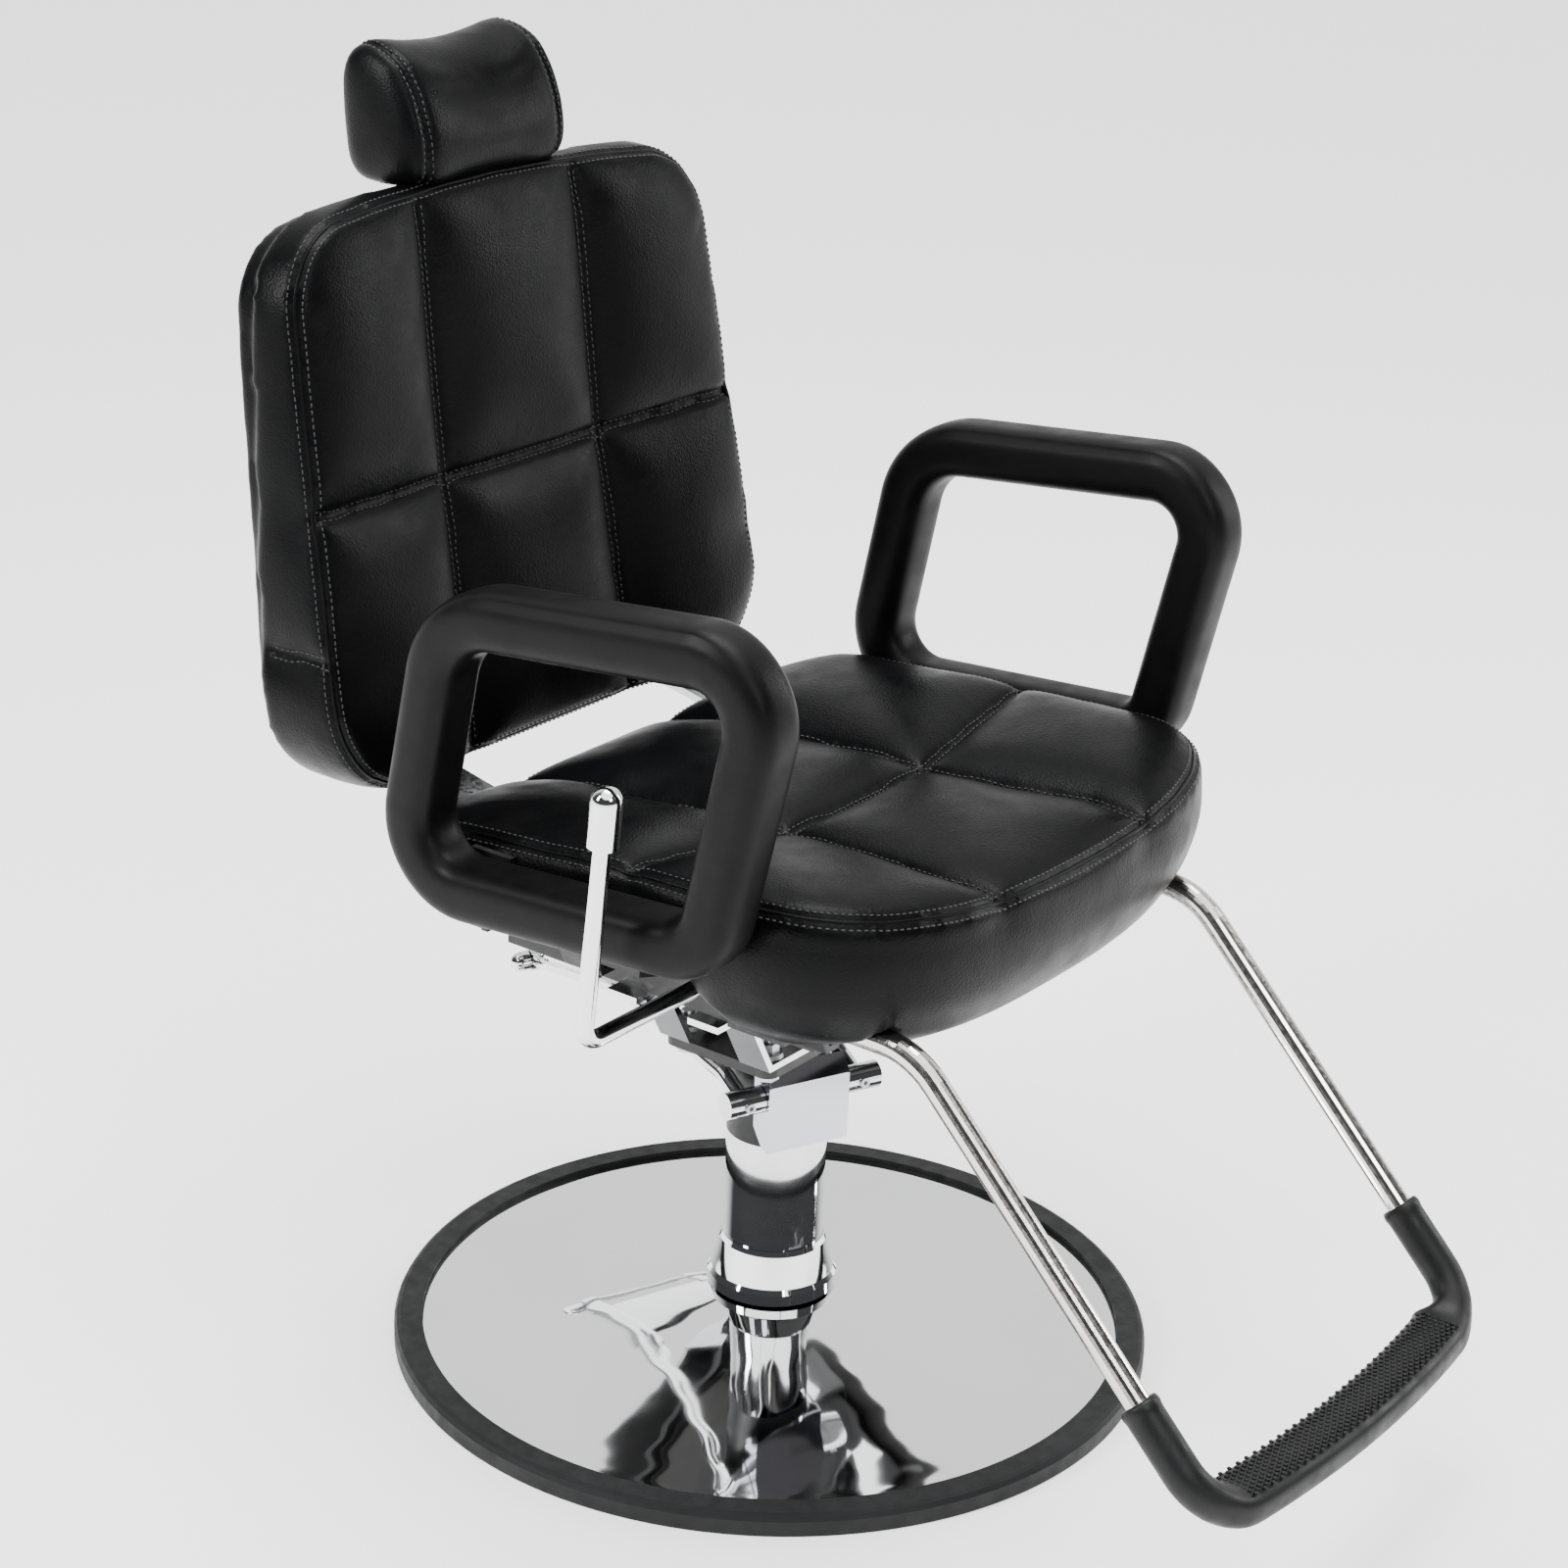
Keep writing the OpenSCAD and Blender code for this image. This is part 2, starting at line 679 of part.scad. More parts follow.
// Turns the lever's upright about its own leg, so that it leans towards the front
module lever_frame() {
    translate([0, lever_y, lever_z]) rotate([lever_lean, 0, 0]) children();
}

module recline_lever() {
    bend_r = 16;
    color(chrome) lever_frame() {
        rod_x(lever_r, lever_x + bend_r, -165, 0, 0);
        translate([lever_x + bend_r, 0, bend_r]) rotate([90, 0, 0]) rotate([0, 0, 180])
            rotate_extrude(angle = 90) translate([bend_r, 0]) circle(r = lever_r);
        translate([lever_x, 0, bend_r]) rod(lever_r, lever_h - bend_r);
        rod_x(8.5, -190.5, -186.5, 0, 0);
        rod_x(8.5, -169.5, -165, 0, 0);
    }
}

module lever_knob() {
    color(chrome) lever_frame() translate([lever_x, 0, lever_h - 24]) difference() {
        union() {
            rod(11, 32);
            translate([0, 0, 32]) sphere(r = 11, $fn = 48);
        }
        translate([0, 0, -1]) rod(lever_r + 0.1, 25.1);
    }
}

// ---------- Backrest ----------

// The frame of the backrest's face: +Z up the face, +Y into the foam
module leaning() {
    translate([0, back_y, back_z]) rotate([-back_tilt, 0, 0]) children();
}

// The frame of the foam's rear plane, which leans less, so that the backrest is a wedge
module rear_frame() {
    translate([0, rear_y, back_z]) rotate([-rear_tilt, 0, 0]) children();
}

// Outline of the backrest, inset by e: narrower at the top, with round corners
module back_outline(e) {
    low = 72 - e;
    high = 46 - e;
    low_x = back_w / 2 - e - low;
    high_x = back_w / 2 - e - high - back_taper;
    spots = [[low_x, 72, low], [high_x, back_h - 46, high], [-high_x, back_h - 46, high],
        [-low_x, 72, low]];
    polygon([for (i = [0 : 3], a = [0 : 9 : 90]) [spots[i].x, spots[i].y]
        + spots[i].z * [cos(a - 90 + 90 * i), sin(a - 90 + 90 * i)]]);
}

function face_y(x) = back_dish * (1 - pow(2 * x / back_w, 2));

module back_cushion() {
    half = back_w / 2;
    plan = concat([for (i = [-10 : 10]) let (x = half * i / 10) [x, face_y(x)]],
        [[half, 100], [-half, 100]]);
    color(black) intersection() {
        leaning() linear_extrude(back_h) polygon(plan);
        leaning() translate([0, 110, 0]) to_xz() linear_extrude(120) back_outline(0);
        rear_frame() translate([-half, -100, -50]) cube([2 * half, 100, back_h + 100]);
    }
}

module post_slots(r) {
    for (s = [-1, 1]) translate([s * post_x, post_y, back_h - post_len - 12]) rod(r, 200);
}

module back_board() {
    color("#a98a5c") rear_frame() difference() {
        translate([0, back_board_t + slack, 0]) to_xz() linear_extrude(back_board_t)
            back_outline(32);
        post_slots(8.6);
    }
}

behind = back_board_t + slack;
upright = behind + bracket_t / 2 + 0.1;
foot_point = [rear_y + upright * cos(rear_tilt) + 6 * sin(rear_tilt),
    back_z - upright * sin(rear_tilt) + 6 * cos(rear_tilt)];
top_point = foot_point + 124 * [sin(rear_tilt), cos(rear_tilt)];

module bracket(x0, x1) {
    path = [[pivot_y, pivot_z], [pivot_y, pivot_z + 40], foot_point - [0, 22], foot_point,
        top_point];
    translate([x0, 0, 0]) to_yz() linear_extrude(x1 - x0) strip(path, bracket_t);
    rod_x(knuckle_r, x0, x1, pivot_y, pivot_z);
}

module lock_arm() {
    reach = lock_drop / cos(half_swing);
    translate([lock_x - 3, pivot_y, pivot_z]) to_yz() rotate([0, 0, -90 + half_swing])
        linear_extrude(6) difference() {
            translate([0, -9.5]) square([reach + 13, 19]);
            hull() for (d = [lock_drop - 0.8, reach + 0.8]) translate([d, 0])
                circle(r = lock_pin_r + 0.4, $fn = 24);
        }
}

screw_x = [near_out + 15, near_in - 15, far_in + 11, far_out - 11];
screw_z = [55, 105];

module screws_at(r, from, to) {
    rear_frame() for (x = screw_x, z = screw_z) rod_y(r, from, to, x, z);
}

module back_brackets() {
    color("#8e9195") difference() {
        union() {
            bracket(near_out, near_in);
            bracket(far_in, far_out);
            lock_arm();
        }
        rod_x(pin_r + fit, near_out - 5, far_out + 5, pivot_y, pivot_z);
        screws_at(2.6, behind - 2, behind + 10);
    }
}

module bracket_screws() {
    face = behind + bracket_t + 0.1;
    color(chrome) {
        screws_at(2.5, behind, face + 0.1);
        screws_at(4.5, face, face + 2);
    }
}

module back_cover() {
    crown = 24;
    color(black) rear_frame() difference() {
        union() {
            translate([0, 12, 0]) to_xz() linear_extrude(12 - slack) back_outline(13);
            translate([0, crown, 0]) to_xz() linear_extrude(14) back_outline(31);
        }
        translate([0, behind, 0]) to_xz() linear_extrude(20) back_outline(31);
        for (x = [[near_out, near_in], [far_in, far_out]])
            translate([x[0] - 1, -1, -5]) cube([x[1] - x[0] + 2, behind + bracket_t + 3.2, 145]);
        post_slots(8.6);
    }
}

module post_sleeves() {
    color(dark_steel) rear_frame() for (s = [-1, 1]) translate([s * post_x, post_y, 0])
        difference() {
            translate([0, 0, back_h - post_len - 2]) rod(8, post_len - 4);
            translate([0, 0, back_h - post_len - 3]) rod(post_r + fit, 200);
        }
}

// ---------- Headrest ----------

head_low = back_h - 2;

module headrest_posts() {
    color(chrome) rear_frame() for (s = [-1, 1]) translate([s * post_x, post_y, back_h - post_len])
        rod(post_r, post_len + 50);
}

module headrest_plate() {
    color(chrome) rear_frame() difference() {
        translate([-52, post_y - 22, head_low - 2.9]) cube([104, 36, 2.8]);
        post_slots(post_r + 0.02);
    }
}

module headrest_cushion() {
    z = head_low;
    h = head_h;
    section = [[-14, z], [-21, z + 6], [-24, z + 20], [-22, z + 42], [-14, z + 66],
        [0, z + 88], [16, z + h - 4], [32, z + h], [44, z + h - 6], [51, z + h - 20],
        [52, z + 50], [50, z + 14], [43, z + 3], [34, z]];
    color(black) rear_frame() difference() {
        translate([-head_w / 2, 0, 0]) to_yz() linear_extrude(head_w) polygon(section);
        for (s = [-1, 1]) translate([s * post_x, post_y, head_low - 1])
            rod(post_r + 0.02, back_h - head_low + 51.1);
    }
}

base_plate();
base_ring();
base_dish();
base_bolts();
column_tube();
column_collar();
guide_bush();
piston();
pump_head();
head_cover();
thrust_washer();
spindle_nut();
lever_shaft();
lever_hubs();
hub_screws();
pump_arms();
treadle_plate();
pedal_rod();
pedal_nuts();
top_plate();
plate_bolts();
mount_straps();
seat_rail(-1);  // seat_rail_right
seat_rail(1);  // seat_rail_left
front_crossbar();
rear_crossbar();
arm_straps();
arm_bolts();
armrest(-1);  // armrest_right
armrest(1);  // armrest_left
seat_board();
seat_cushion();
footrest_tube();
footrest_sockets();
footrest_pad();
hinge_ears();
hinge_pins();
lock_body();
lock_clamps();
lock_rod();
lock_pin();
lever_bearing();
recline_lever();
lever_knob();
back_brackets();
back_board();
bracket_screws();
back_cushion();
back_cover();
post_sleeves();
headrest_posts();
headrest_plate();
headrest_cushion();
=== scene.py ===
import bpy
import math
from mathutils import Matrix, Vector, noise
from mathutils.bvhtree import BVHTree
from mathutils.kdtree import KDTree


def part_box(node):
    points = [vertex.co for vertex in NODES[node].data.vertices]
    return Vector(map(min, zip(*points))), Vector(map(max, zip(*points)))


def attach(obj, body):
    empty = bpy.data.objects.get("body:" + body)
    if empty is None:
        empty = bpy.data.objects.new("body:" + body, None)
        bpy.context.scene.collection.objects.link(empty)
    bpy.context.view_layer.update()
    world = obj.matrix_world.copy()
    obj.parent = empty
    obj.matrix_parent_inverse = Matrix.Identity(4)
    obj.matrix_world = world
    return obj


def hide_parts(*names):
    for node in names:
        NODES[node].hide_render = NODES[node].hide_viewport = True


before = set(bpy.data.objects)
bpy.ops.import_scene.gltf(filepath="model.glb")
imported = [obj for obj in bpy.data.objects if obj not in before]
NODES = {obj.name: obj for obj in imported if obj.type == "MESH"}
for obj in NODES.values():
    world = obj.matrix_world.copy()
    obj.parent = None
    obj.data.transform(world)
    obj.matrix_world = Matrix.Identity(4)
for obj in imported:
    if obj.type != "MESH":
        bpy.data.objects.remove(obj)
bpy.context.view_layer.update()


def lerp(a, b, t):
    return a + (b - a) * t


def smooth(a, b, x):
    t = min(max((x - a) / (b - a), 0.0), 1.0)
    return t * t * (3 - 2 * t)


def along(stations, x):
    """Smooth value at x between (x, value) stations."""
    if x <= stations[0][0]:
        return stations[0][1]
    for (a, u), (b, v) in zip(stations, stations[1:]):
        if x <= b:
            return lerp(u, v, smooth(a, b, x))
    return stations[-1][1]


# ---------- camera, lights and floor ----------

def make_camera():
    az, el, roll = math.radians(-53.504), math.radians(21.752), math.radians(2.06)
    back = Vector((math.sin(az) * math.cos(el), -math.cos(az) * math.cos(el), math.sin(el)))
    level = (-back).cross(Vector((0, 0, 1))).normalized()
    up = level.cross(-back)
    x_axis = level * math.cos(roll) + up * math.sin(roll)
    y_axis = up * math.cos(roll) - level * math.sin(roll)
    data = bpy.data.cameras.new("camera")
    data.lens = 83.232
    data.sensor_width = 36
    data.clip_start = 0.05
    camera = bpy.data.objects.new("camera", data)
    camera.matrix_world = Matrix((x_axis, y_axis, back)).transposed().to_4x4()
    camera.location = Vector((-0.00656, 0, 0.46379)) + back * 2.68879
    bpy.context.scene.collection.objects.link(camera)
    bpy.context.scene.camera = camera


def area_light(name, spot, target, size, power, tint=(1, 1, 1)):
    data = bpy.data.lights.new(name, "AREA")
    data.shape = "RECTANGLE"
    data.size, data.size_y = size
    data.energy = power
    data.color = tint
    light = bpy.data.objects.new(name, data)
    light.location = spot
    aim = Vector(target) - Vector(spot)
    light.rotation_mode = "QUATERNION"
    light.rotation_quaternion = aim.to_track_quat("-Z", "Y")
    bpy.context.scene.collection.objects.link(light)


def make_studio():
    middle = (0, 0, 0.5)
    area_light("key_left", (-2.3, 1.2, 2.1), middle, (0.6, 1.4), 75)
    area_light("key_front", (-1.1, -2.7, 2.3), middle, (1.0, 0.7), 26)
    area_light("top", (0.3, 0.1, 3.1), middle, (1.6, 1.4), 75)
    area_light("strip_right", (2.4, -1.6, 1.5), middle, (0.35, 1.6), 34)
    sun = bpy.data.lights.new("sky_panel", "SUN")
    sun.energy = 2.6
    sun.angle = math.radians(70)
    panel = bpy.data.objects.new("sky_panel", sun)
    panel.rotation_euler = (math.radians(12), math.radians(-14), 0)
    bpy.context.scene.collection.objects.link(panel)
    world = bpy.data.worlds.new("studio")
    world.use_nodes = True
    tree = world.node_tree
    heading = tree.nodes.new("ShaderNodeTexCoord")
    toward = tree.nodes.new("ShaderNodeVectorMath")
    toward.operation = "DOT_PRODUCT"
    toward.inputs[1].default_value = (0.72, 0.54, 0.43)
    glow = tree.nodes.new("ShaderNodeValToRGB")
    glow.color_ramp.interpolation = "EASE"
    glow.color_ramp.elements[0].position = 0.35
    glow.color_ramp.elements[0].color = (0.045, 0.046, 0.048, 1)
    glow.color_ramp.elements[1].position = 0.85
    glow.color_ramp.elements[1].color = (1.0, 1.0, 1.0, 1)
    ground = tree.nodes["Background"]
    ground.inputs["Strength"].default_value = 1.35
    tree.links.new(heading.outputs["Generated"], toward.inputs[0])
    tree.links.new(toward.outputs["Value"], glow.inputs["Fac"])
    tree.links.new(glow.outputs["Color"], ground.inputs["Color"])
    bpy.context.scene.world = world


def make_floor():
    side = 30.0
    floor = mesh_object("floor", [(-side, -side, 0), (side, -side, 0), (side, side, 0), (-side, side, 0)],
        [(0, 1, 2, 3)])
    floor.location.z = -0.0005
    material = new_material("floor")
    shader = material.node_tree.nodes["Principled BSDF"]
    shader.inputs["Base Color"].default_value = (0.95, 0.95, 0.95, 1)
    shader.inputs["Roughness"].default_value = 0.6
    shader.inputs["Emission Color"].default_value = (1, 1, 1, 1)
    shader.inputs["Emission Strength"].default_value = 0.95
    floor.data.materials.append(material)


# ---------- materials ----------

def new_material(name):
    material = bpy.data.materials.new(name)
    material.use_nodes = True
    return material


class Finish:
    """A node material around one Principled shader, in object coordinates."""

    def __init__(self, name, color, roughness, metallic=0.0):
        self.material = new_material(name)
        self.tree = self.material.node_tree
        self.shader = self.tree.nodes["Principled BSDF"]
        self.shader.inputs["Base Color"].default_value = (*color, 1)
        self.shader.inputs["Roughness"].default_value = roughness
        self.shader.inputs["Metallic"].default_value = metallic
        self.place = self.tree.nodes.new("ShaderNodeTexCoord").outputs["Object"]
        self.color = color
        self.height = None

    def link(self, a, b):
        self.tree.links.new(a, b)

    def noise(self, scale, detail=3.0, stretch=None, rough=0.55):
        node = self.tree.nodes.new("ShaderNodeTexNoise")
        node.inputs["Scale"].default_value = scale
        node.inputs["Detail"].default_value = detail
        node.inputs["Roughness"].default_value = rough
        if stretch:
            mapping = self.tree.nodes.new("ShaderNodeMapping")
            mapping.inputs["Scale"].default_value = stretch
            self.link(self.place, mapping.inputs["Vector"])
            self.link(mapping.outputs["Vector"], node.inputs["Vector"])
        else:
            self.link(self.place, node.inputs["Vector"])
        return node.outputs["Fac"]

    def cells(self, scale, feature="DISTANCE_TO_EDGE"):
        node = self.tree.nodes.new("ShaderNodeTexVoronoi")
        node.feature = feature
        node.inputs["Scale"].default_value = scale
        self.link(self.place, node.inputs["Vector"])
        return node.outputs["Distance"]

    def ramp(self, source, stops):
        node = self.tree.nodes.new("ShaderNodeValToRGB")
        ramp = node.color_ramp
        while len(ramp.elements) < len(stops):
            ramp.elements.new(0.5)
        for element, (spot, value) in zip(ramp.elements, stops):
            element.position = spot
            element.color = value if len(value) == 4 else (*value, 1)
        self.link(source, node.inputs["Fac"])
        return node.outputs["Color"]

    def vary_color(self, source, low, high, start=0.3, stop=0.7):
        shades = [(start, [c * low for c in self.color]), (stop, [c * high for c in self.color])]
        self.link(self.ramp(source, shades), self.shader.inputs["Base Color"])
        return self

    def vary_roughness(self, source, low, high, start=0.3, stop=0.7):
        self.link(self.ramp(source, [(start, [low] * 3), (stop, [high] * 3)]),
            self.shader.inputs["Roughness"])
        return self

    def bump(self, source, distance, strength=1.0):
        node = self.tree.nodes.new("ShaderNodeBump")
        node.inputs["Distance"].default_value = distance
        node.inputs["Strength"].default_value = strength
        self.link(source, node.inputs["Height"])
        if self.height:
            self.link(self.height, node.inputs["Normal"])
        self.height = node.outputs["Normal"]
        self.link(self.height, self.shader.inputs["Normal"])
        return self

    def set(self, **values):
        for name, value in values.items():
            self.shader.inputs[name.replace("_", " ")].default_value = value
        return self


def leather(name, color=(0.0018, 0.0019, 0.0022), roughness=0.33):
    finish = Finish(name, color, roughness)
    finish.vary_color(finish.noise(7, 4), 0.75, 1.35)
    finish.vary_roughness(finish.noise(38, 5), roughness - 0.06, roughness + 0.09)
    finish.bump(finish.noise(24, 3), 0.0012, 0.3)
    finish.bump(finish.cells(560, "F1"), 0.0003, 0.55)
    finish.bump(finish.noise(1500, 2), 0.00014, 0.5)
    finish.set(Specular_IOR_Level=0.085)
    return finish.material


def thread():
    # Dark grey thread, lighter than the leather's black: the extra lightness is a painted highlight standing
    # in for the gleam along the stitches.
    finish = Finish("thread", (0.022, 0.0225, 0.025), 0.45)
    finish.bump(finish.noise(2600, 1, (1, 1, 0.2)), 0.0002)
    finish.vary_color(finish.noise(300), 0.8, 1.3)
    return finish.material


def moulded_foam():
    finish = Finish("moulded_arm", (0.0028, 0.0027, 0.0026), 0.4)
    finish.vary_color(finish.noise(9, 4), 0.8, 1.25)
    finish.vary_roughness(finish.noise(55, 5), 0.34, 0.47)
    finish.bump(finish.noise(45, 2), 0.0006, 0.25)
    finish.bump(finish.noise(900, 3), 0.00016, 0.55)
    finish.set(Specular_IOR_Level=0.11)
    return finish.material


def chrome(name="mirror_chrome", color=(0.86, 0.865, 0.875), roughness=0.035):
    finish = Finish(name, color, roughness, 1.0)
    finish.vary_roughness(finish.noise(14, 6), roughness * 0.6, roughness * 1.8)
    finish.vary_color(finish.noise(5, 3), 0.95, 1.02)
    finish.bump(finish.noise(9, 2), 0.0012, 0.12)
    return finish.material


def polished_steel(name="polished_steel", color=(0.72, 0.69, 0.66), roughness=0.16, stretch=(1, 1, 1)):
    finish = Finish(name, color, roughness, 1.0)
    finish.vary_roughness(finish.noise(220, 3, stretch), roughness * 0.7, roughness * 1.35)
    finish.vary_color(finish.noise(30, 4), 0.93, 1.05)
    finish.bump(finish.noise(500, 2, stretch), 0.00008, 0.4)
    return finish.material


def painted_steel():
    finish = Finish("painted_steel", (0.006, 0.0062, 0.0066), 0.4)
    finish.vary_roughness(finish.noise(90, 4), 0.34, 0.52)
    finish.bump(finish.noise(420, 3), 0.0002, 0.5)
    finish.vary_color(finish.noise(12, 3), 0.8, 1.3)
    return finish.material


def zinc_plate():
    finish = Finish("zinc_plate", (0.5, 0.51, 0.52), 0.3, 1.0)
    finish.vary_color(finish.cells(120, "F1"), 0.88, 1.08, 0.1, 0.7)
    finish.vary_roughness(finish.noise(70, 4), 0.22, 0.4)
    finish.bump(finish.noise(300, 2), 0.0001, 0.4)
    return finish.material


def rubber(name="rubber", color=(0.008, 0.0083, 0.009), roughness=0.55):
    finish = Finish(name, color, roughness)
    finish.vary_color(finish.noise(16, 5), 0.8, 1.3)
    finish.vary_roughness(finish.noise(80, 4), roughness - 0.09, roughness + 0.1)
    finish.bump(finish.noise(700, 3), 0.0002, 0.6)
    finish.set(Specular_IOR_Level=0.25)
    return finish.material


def plywood():
    finish = Finish("plywood", (0.016, 0.0145, 0.013), 0.6)
    finish.vary_color(finish.noise(26, 6, (0.15, 1, 6)), 0.55, 1.5)
    finish.bump(finish.noise(160, 4, (0.2, 1, 5)), 0.0003, 0.5)
    return finish.material


def nylon():
    finish = Finish("nylon", (0.72, 0.7, 0.64), 0.4)
    finish.vary_color(finish.noise(40), 0.9, 1.05)
    finish.bump(finish.noise(500, 2), 0.00008, 0.5)
    return finish.material


# ---------- mesh helpers ----------

def mesh_object(name, verts, faces, material=None, rounded=True):
    mesh = bpy.data.meshes.new(name)
    mesh.from_pydata([tuple(v) for v in verts], [], faces)
    mesh.validate()
    mesh.update()
    if rounded:
        mesh.polygons.foreach_set("use_smooth", [True] * len(mesh.polygons))
    obj = bpy.data.objects.new(name, mesh)
    if material:
        mesh.materials.append(material)
    bpy.context.scene.collection.objects.link(obj)
    return obj


def skin(rings, closed=False, caps=True):
    """Vertices and faces of a tube through equal rings of points; closed joins the last to the first."""
    n = len(rings[0])
    verts = [p for ring in rings for p in ring]
    faces = []
    count = len(rings)
    for i in range(count if closed else count - 1):
        a, b = i * n, ((i + 1) % count) * n
        for j in range(n):
            k = (j + 1) % n
            faces.append((a + j, a + k, b + k, b + j))
    if caps and not closed:
        for ring, start, flip in ((rings[0], 0, True), (rings[-1], (count - 1) * n, False)):
            middle = sum((Vector(p) for p in ring), Vector()) / n
            verts.append(middle)
            for j in range(n):
                k = (j + 1) % n
                pair = (start + k, start + j) if flip else (start + j, start + k)
                faces.append((*pair, len(verts) - 1))
    return verts, faces


def applied(obj):
    """Applies obj's modifiers to its mesh."""
    graph = bpy.context.evaluated_depsgraph_get()
    mesh = bpy.data.meshes.new_from_object(obj.evaluated_get(graph))
    obj.modifiers.clear()
    old = obj.data
    obj.data = mesh
    bpy.data.meshes.remove(old)
    return obj


def remesh(obj, voxel):
    change = obj.modifiers.new("remesh", "REMESH")
    change.mode = "VOXEL"
    change.voxel_size = voxel
    change.use_smooth_shade = True
    return applied(obj)


def subdivide(obj, levels=1):
    change = obj.modifiers.new("subdivide", "SUBSURF")
    change.levels = levels
    change.render_levels = levels
    return applied(obj)


def relax(obj, times, factor=0.5):
    change = obj.modifiers.new("relax", "SMOOTH")
    change.iterations = times
    change.factor = factor
    return applied(obj)


def dense(points, step, closed=False):
    """The points of a line, resampled evenly."""
    pts = [Vector(p) for p in points]
    if closed:
        pts.append(pts[0])
    lengths = [0.0]
    for a, b in zip(pts, pts[1:]):
        lengths.append(lengths[-1] + (b - a).length)
    count = max(2, round(lengths[-1] / step))
    out = []
    k = 0
    for i in range(count + (0 if closed else 1)):
        goal = lengths[-1] * i / count
        while k < len(pts) - 2 and lengths[k + 1] < goal:
            k += 1
        span = lengths[k + 1] - lengths[k]
        out.append(pts[k].lerp(pts[k + 1], (goal - lengths[k]) / span if span else 0))
    return out


def nearest(points):
    tree = KDTree(len(points))
    for i, p in enumerate(points):
        tree.insert(p, i)
    tree.balance()
    return tree


def blown(obj, pins, cap, rise, pressure=4.0, hold=0.004, also_held=None):
    """Swells obj with Cloth between its pinned lines, so that its fullest point rises by rise."""
    mesh = obj.data
    rest = [v.co.copy() for v in mesh.vertices]
    pinned = nearest(pins)
    group = obj.vertex_groups.new(name="held")
    for i, p in enumerate(rest):
        near = pinned.find(p)[2]
        weight = 1 - smooth(hold, hold * 2, near)
        if also_held and also_held(p):
            weight = 1.0
        if weight > 0:
            group.add([i], weight, "REPLACE")
    cloth = obj.modifiers.new("cloth", "CLOTH")
    setup = cloth.settings
    setup.quality = 4
    setup.mass = 0.25
    setup.air_damping = 2
    setup.tension_stiffness = 12
    setup.compression_stiffness = 12
    setup.shear_stiffness = 4
    setup.bending_stiffness = 2.0
    setup.use_pressure = True
    setup.uniform_pressure_force = pressure
    setup.vertex_group_mass = "held"
    setup.effector_weights.gravity = 0
    cloth.collision_settings.use_collision = False
    cloth.collision_settings.use_self_collision = False
    scene = bpy.context.scene
    scene.frame_start, scene.frame_end = 1, 24
    cloth.point_cache.frame_start, cloth.point_cache.frame_end = 1, 24
    for step in range(1, 21):
        scene.frame_set(step)
    graph = bpy.context.evaluated_depsgraph_get()
    after = [v.co.copy() for v in obj.evaluated_get(graph).data.vertices]
    obj.modifiers.remove(cloth)
    scene.frame_set(1)
    moves = [b - a for a, b in zip(rest, after)]
    tops = sorted(m.length for m in moves)
    full = tops[int(len(tops) * 0.985)]
    factor = rise / full if full > 1e-5 else 0.0
    for v, start, move in zip(mesh.vertices, rest, moves):
        move = move * factor
        if move.length > cap:
            move = move * (cap / move.length)
        v.co = start + move
    obj.vertex_groups.clear()
    mesh.update()
    return obj


def padded_piece(name, verts, faces, lines, crown, rise, voxel=0.005, cap=0.024, roll=0.016, also_held=None):
    """The foam shape, remeshed, crowned between its seams, swelled by Cloth and subdivided once."""
    obj = mesh_object(name, verts, faces)
    remesh(obj, voxel)
    relax(obj, 2)
    crowned(obj, lines, crown, roll, also_held)
    blown(obj, [p for line in lines for p in line], cap, rise, also_held=also_held)
    relax(obj, 2)
    subdivide(obj)
    return obj


def crowned(obj, lines, rise, roll, also_held):
    """Raises obj between its seams; each seam holds it down by itself, so no ridge forms between them."""
    if not rise:
        return
    trees = [nearest(line) for line in lines]
    normals = [v.normal.copy() for v in obj.data.vertices]
    for v, n in zip(obj.data.vertices, normals):
        if also_held and also_held(v.co):
            continue
        share = 1.0
        for tree in trees:
            share *= 1 - math.exp(-tree.find(v.co)[2] / roll)
        v.co += n * rise * share
    obj.data.update()


def sew(obj, seams, depth=0.0035, width=0.0045):
    """Presses obj in along its seams."""
    points = [p for line in seams for p in line]
    lines = nearest(points)
    mesh = obj.data
    normals = [v.normal.copy() for v in mesh.vertices]
    for v, n in zip(mesh.vertices, normals):
        near = lines.find(v.co)[2]
        if near < width * 3.5:
            v.co -= n * depth * math.exp(-(near / width) ** 2)
    mesh.update()


def surface(obj):
    mesh = obj.data
    return BVHTree.FromPolygons([v.co for v in mesh.vertices], [tuple(p.vertices) for p in mesh.polygons])


def on_surface(tree, p, reach=0.06):
    hit = tree.find_nearest(p, reach)
    return (hit[0], hit[1]) if hit[0] is not None else (None, None)


def settled(points, closed, times=3):
    """A line with its small wobbles averaged out."""
    n = len(points)
    for _ in range(times):
        points = [p if not closed and i in (0, n - 1) else
            (points[i - 1] + p * 2 + points[(i + 1) % n]) / 4 for i, p in enumerate(points)]
    return points


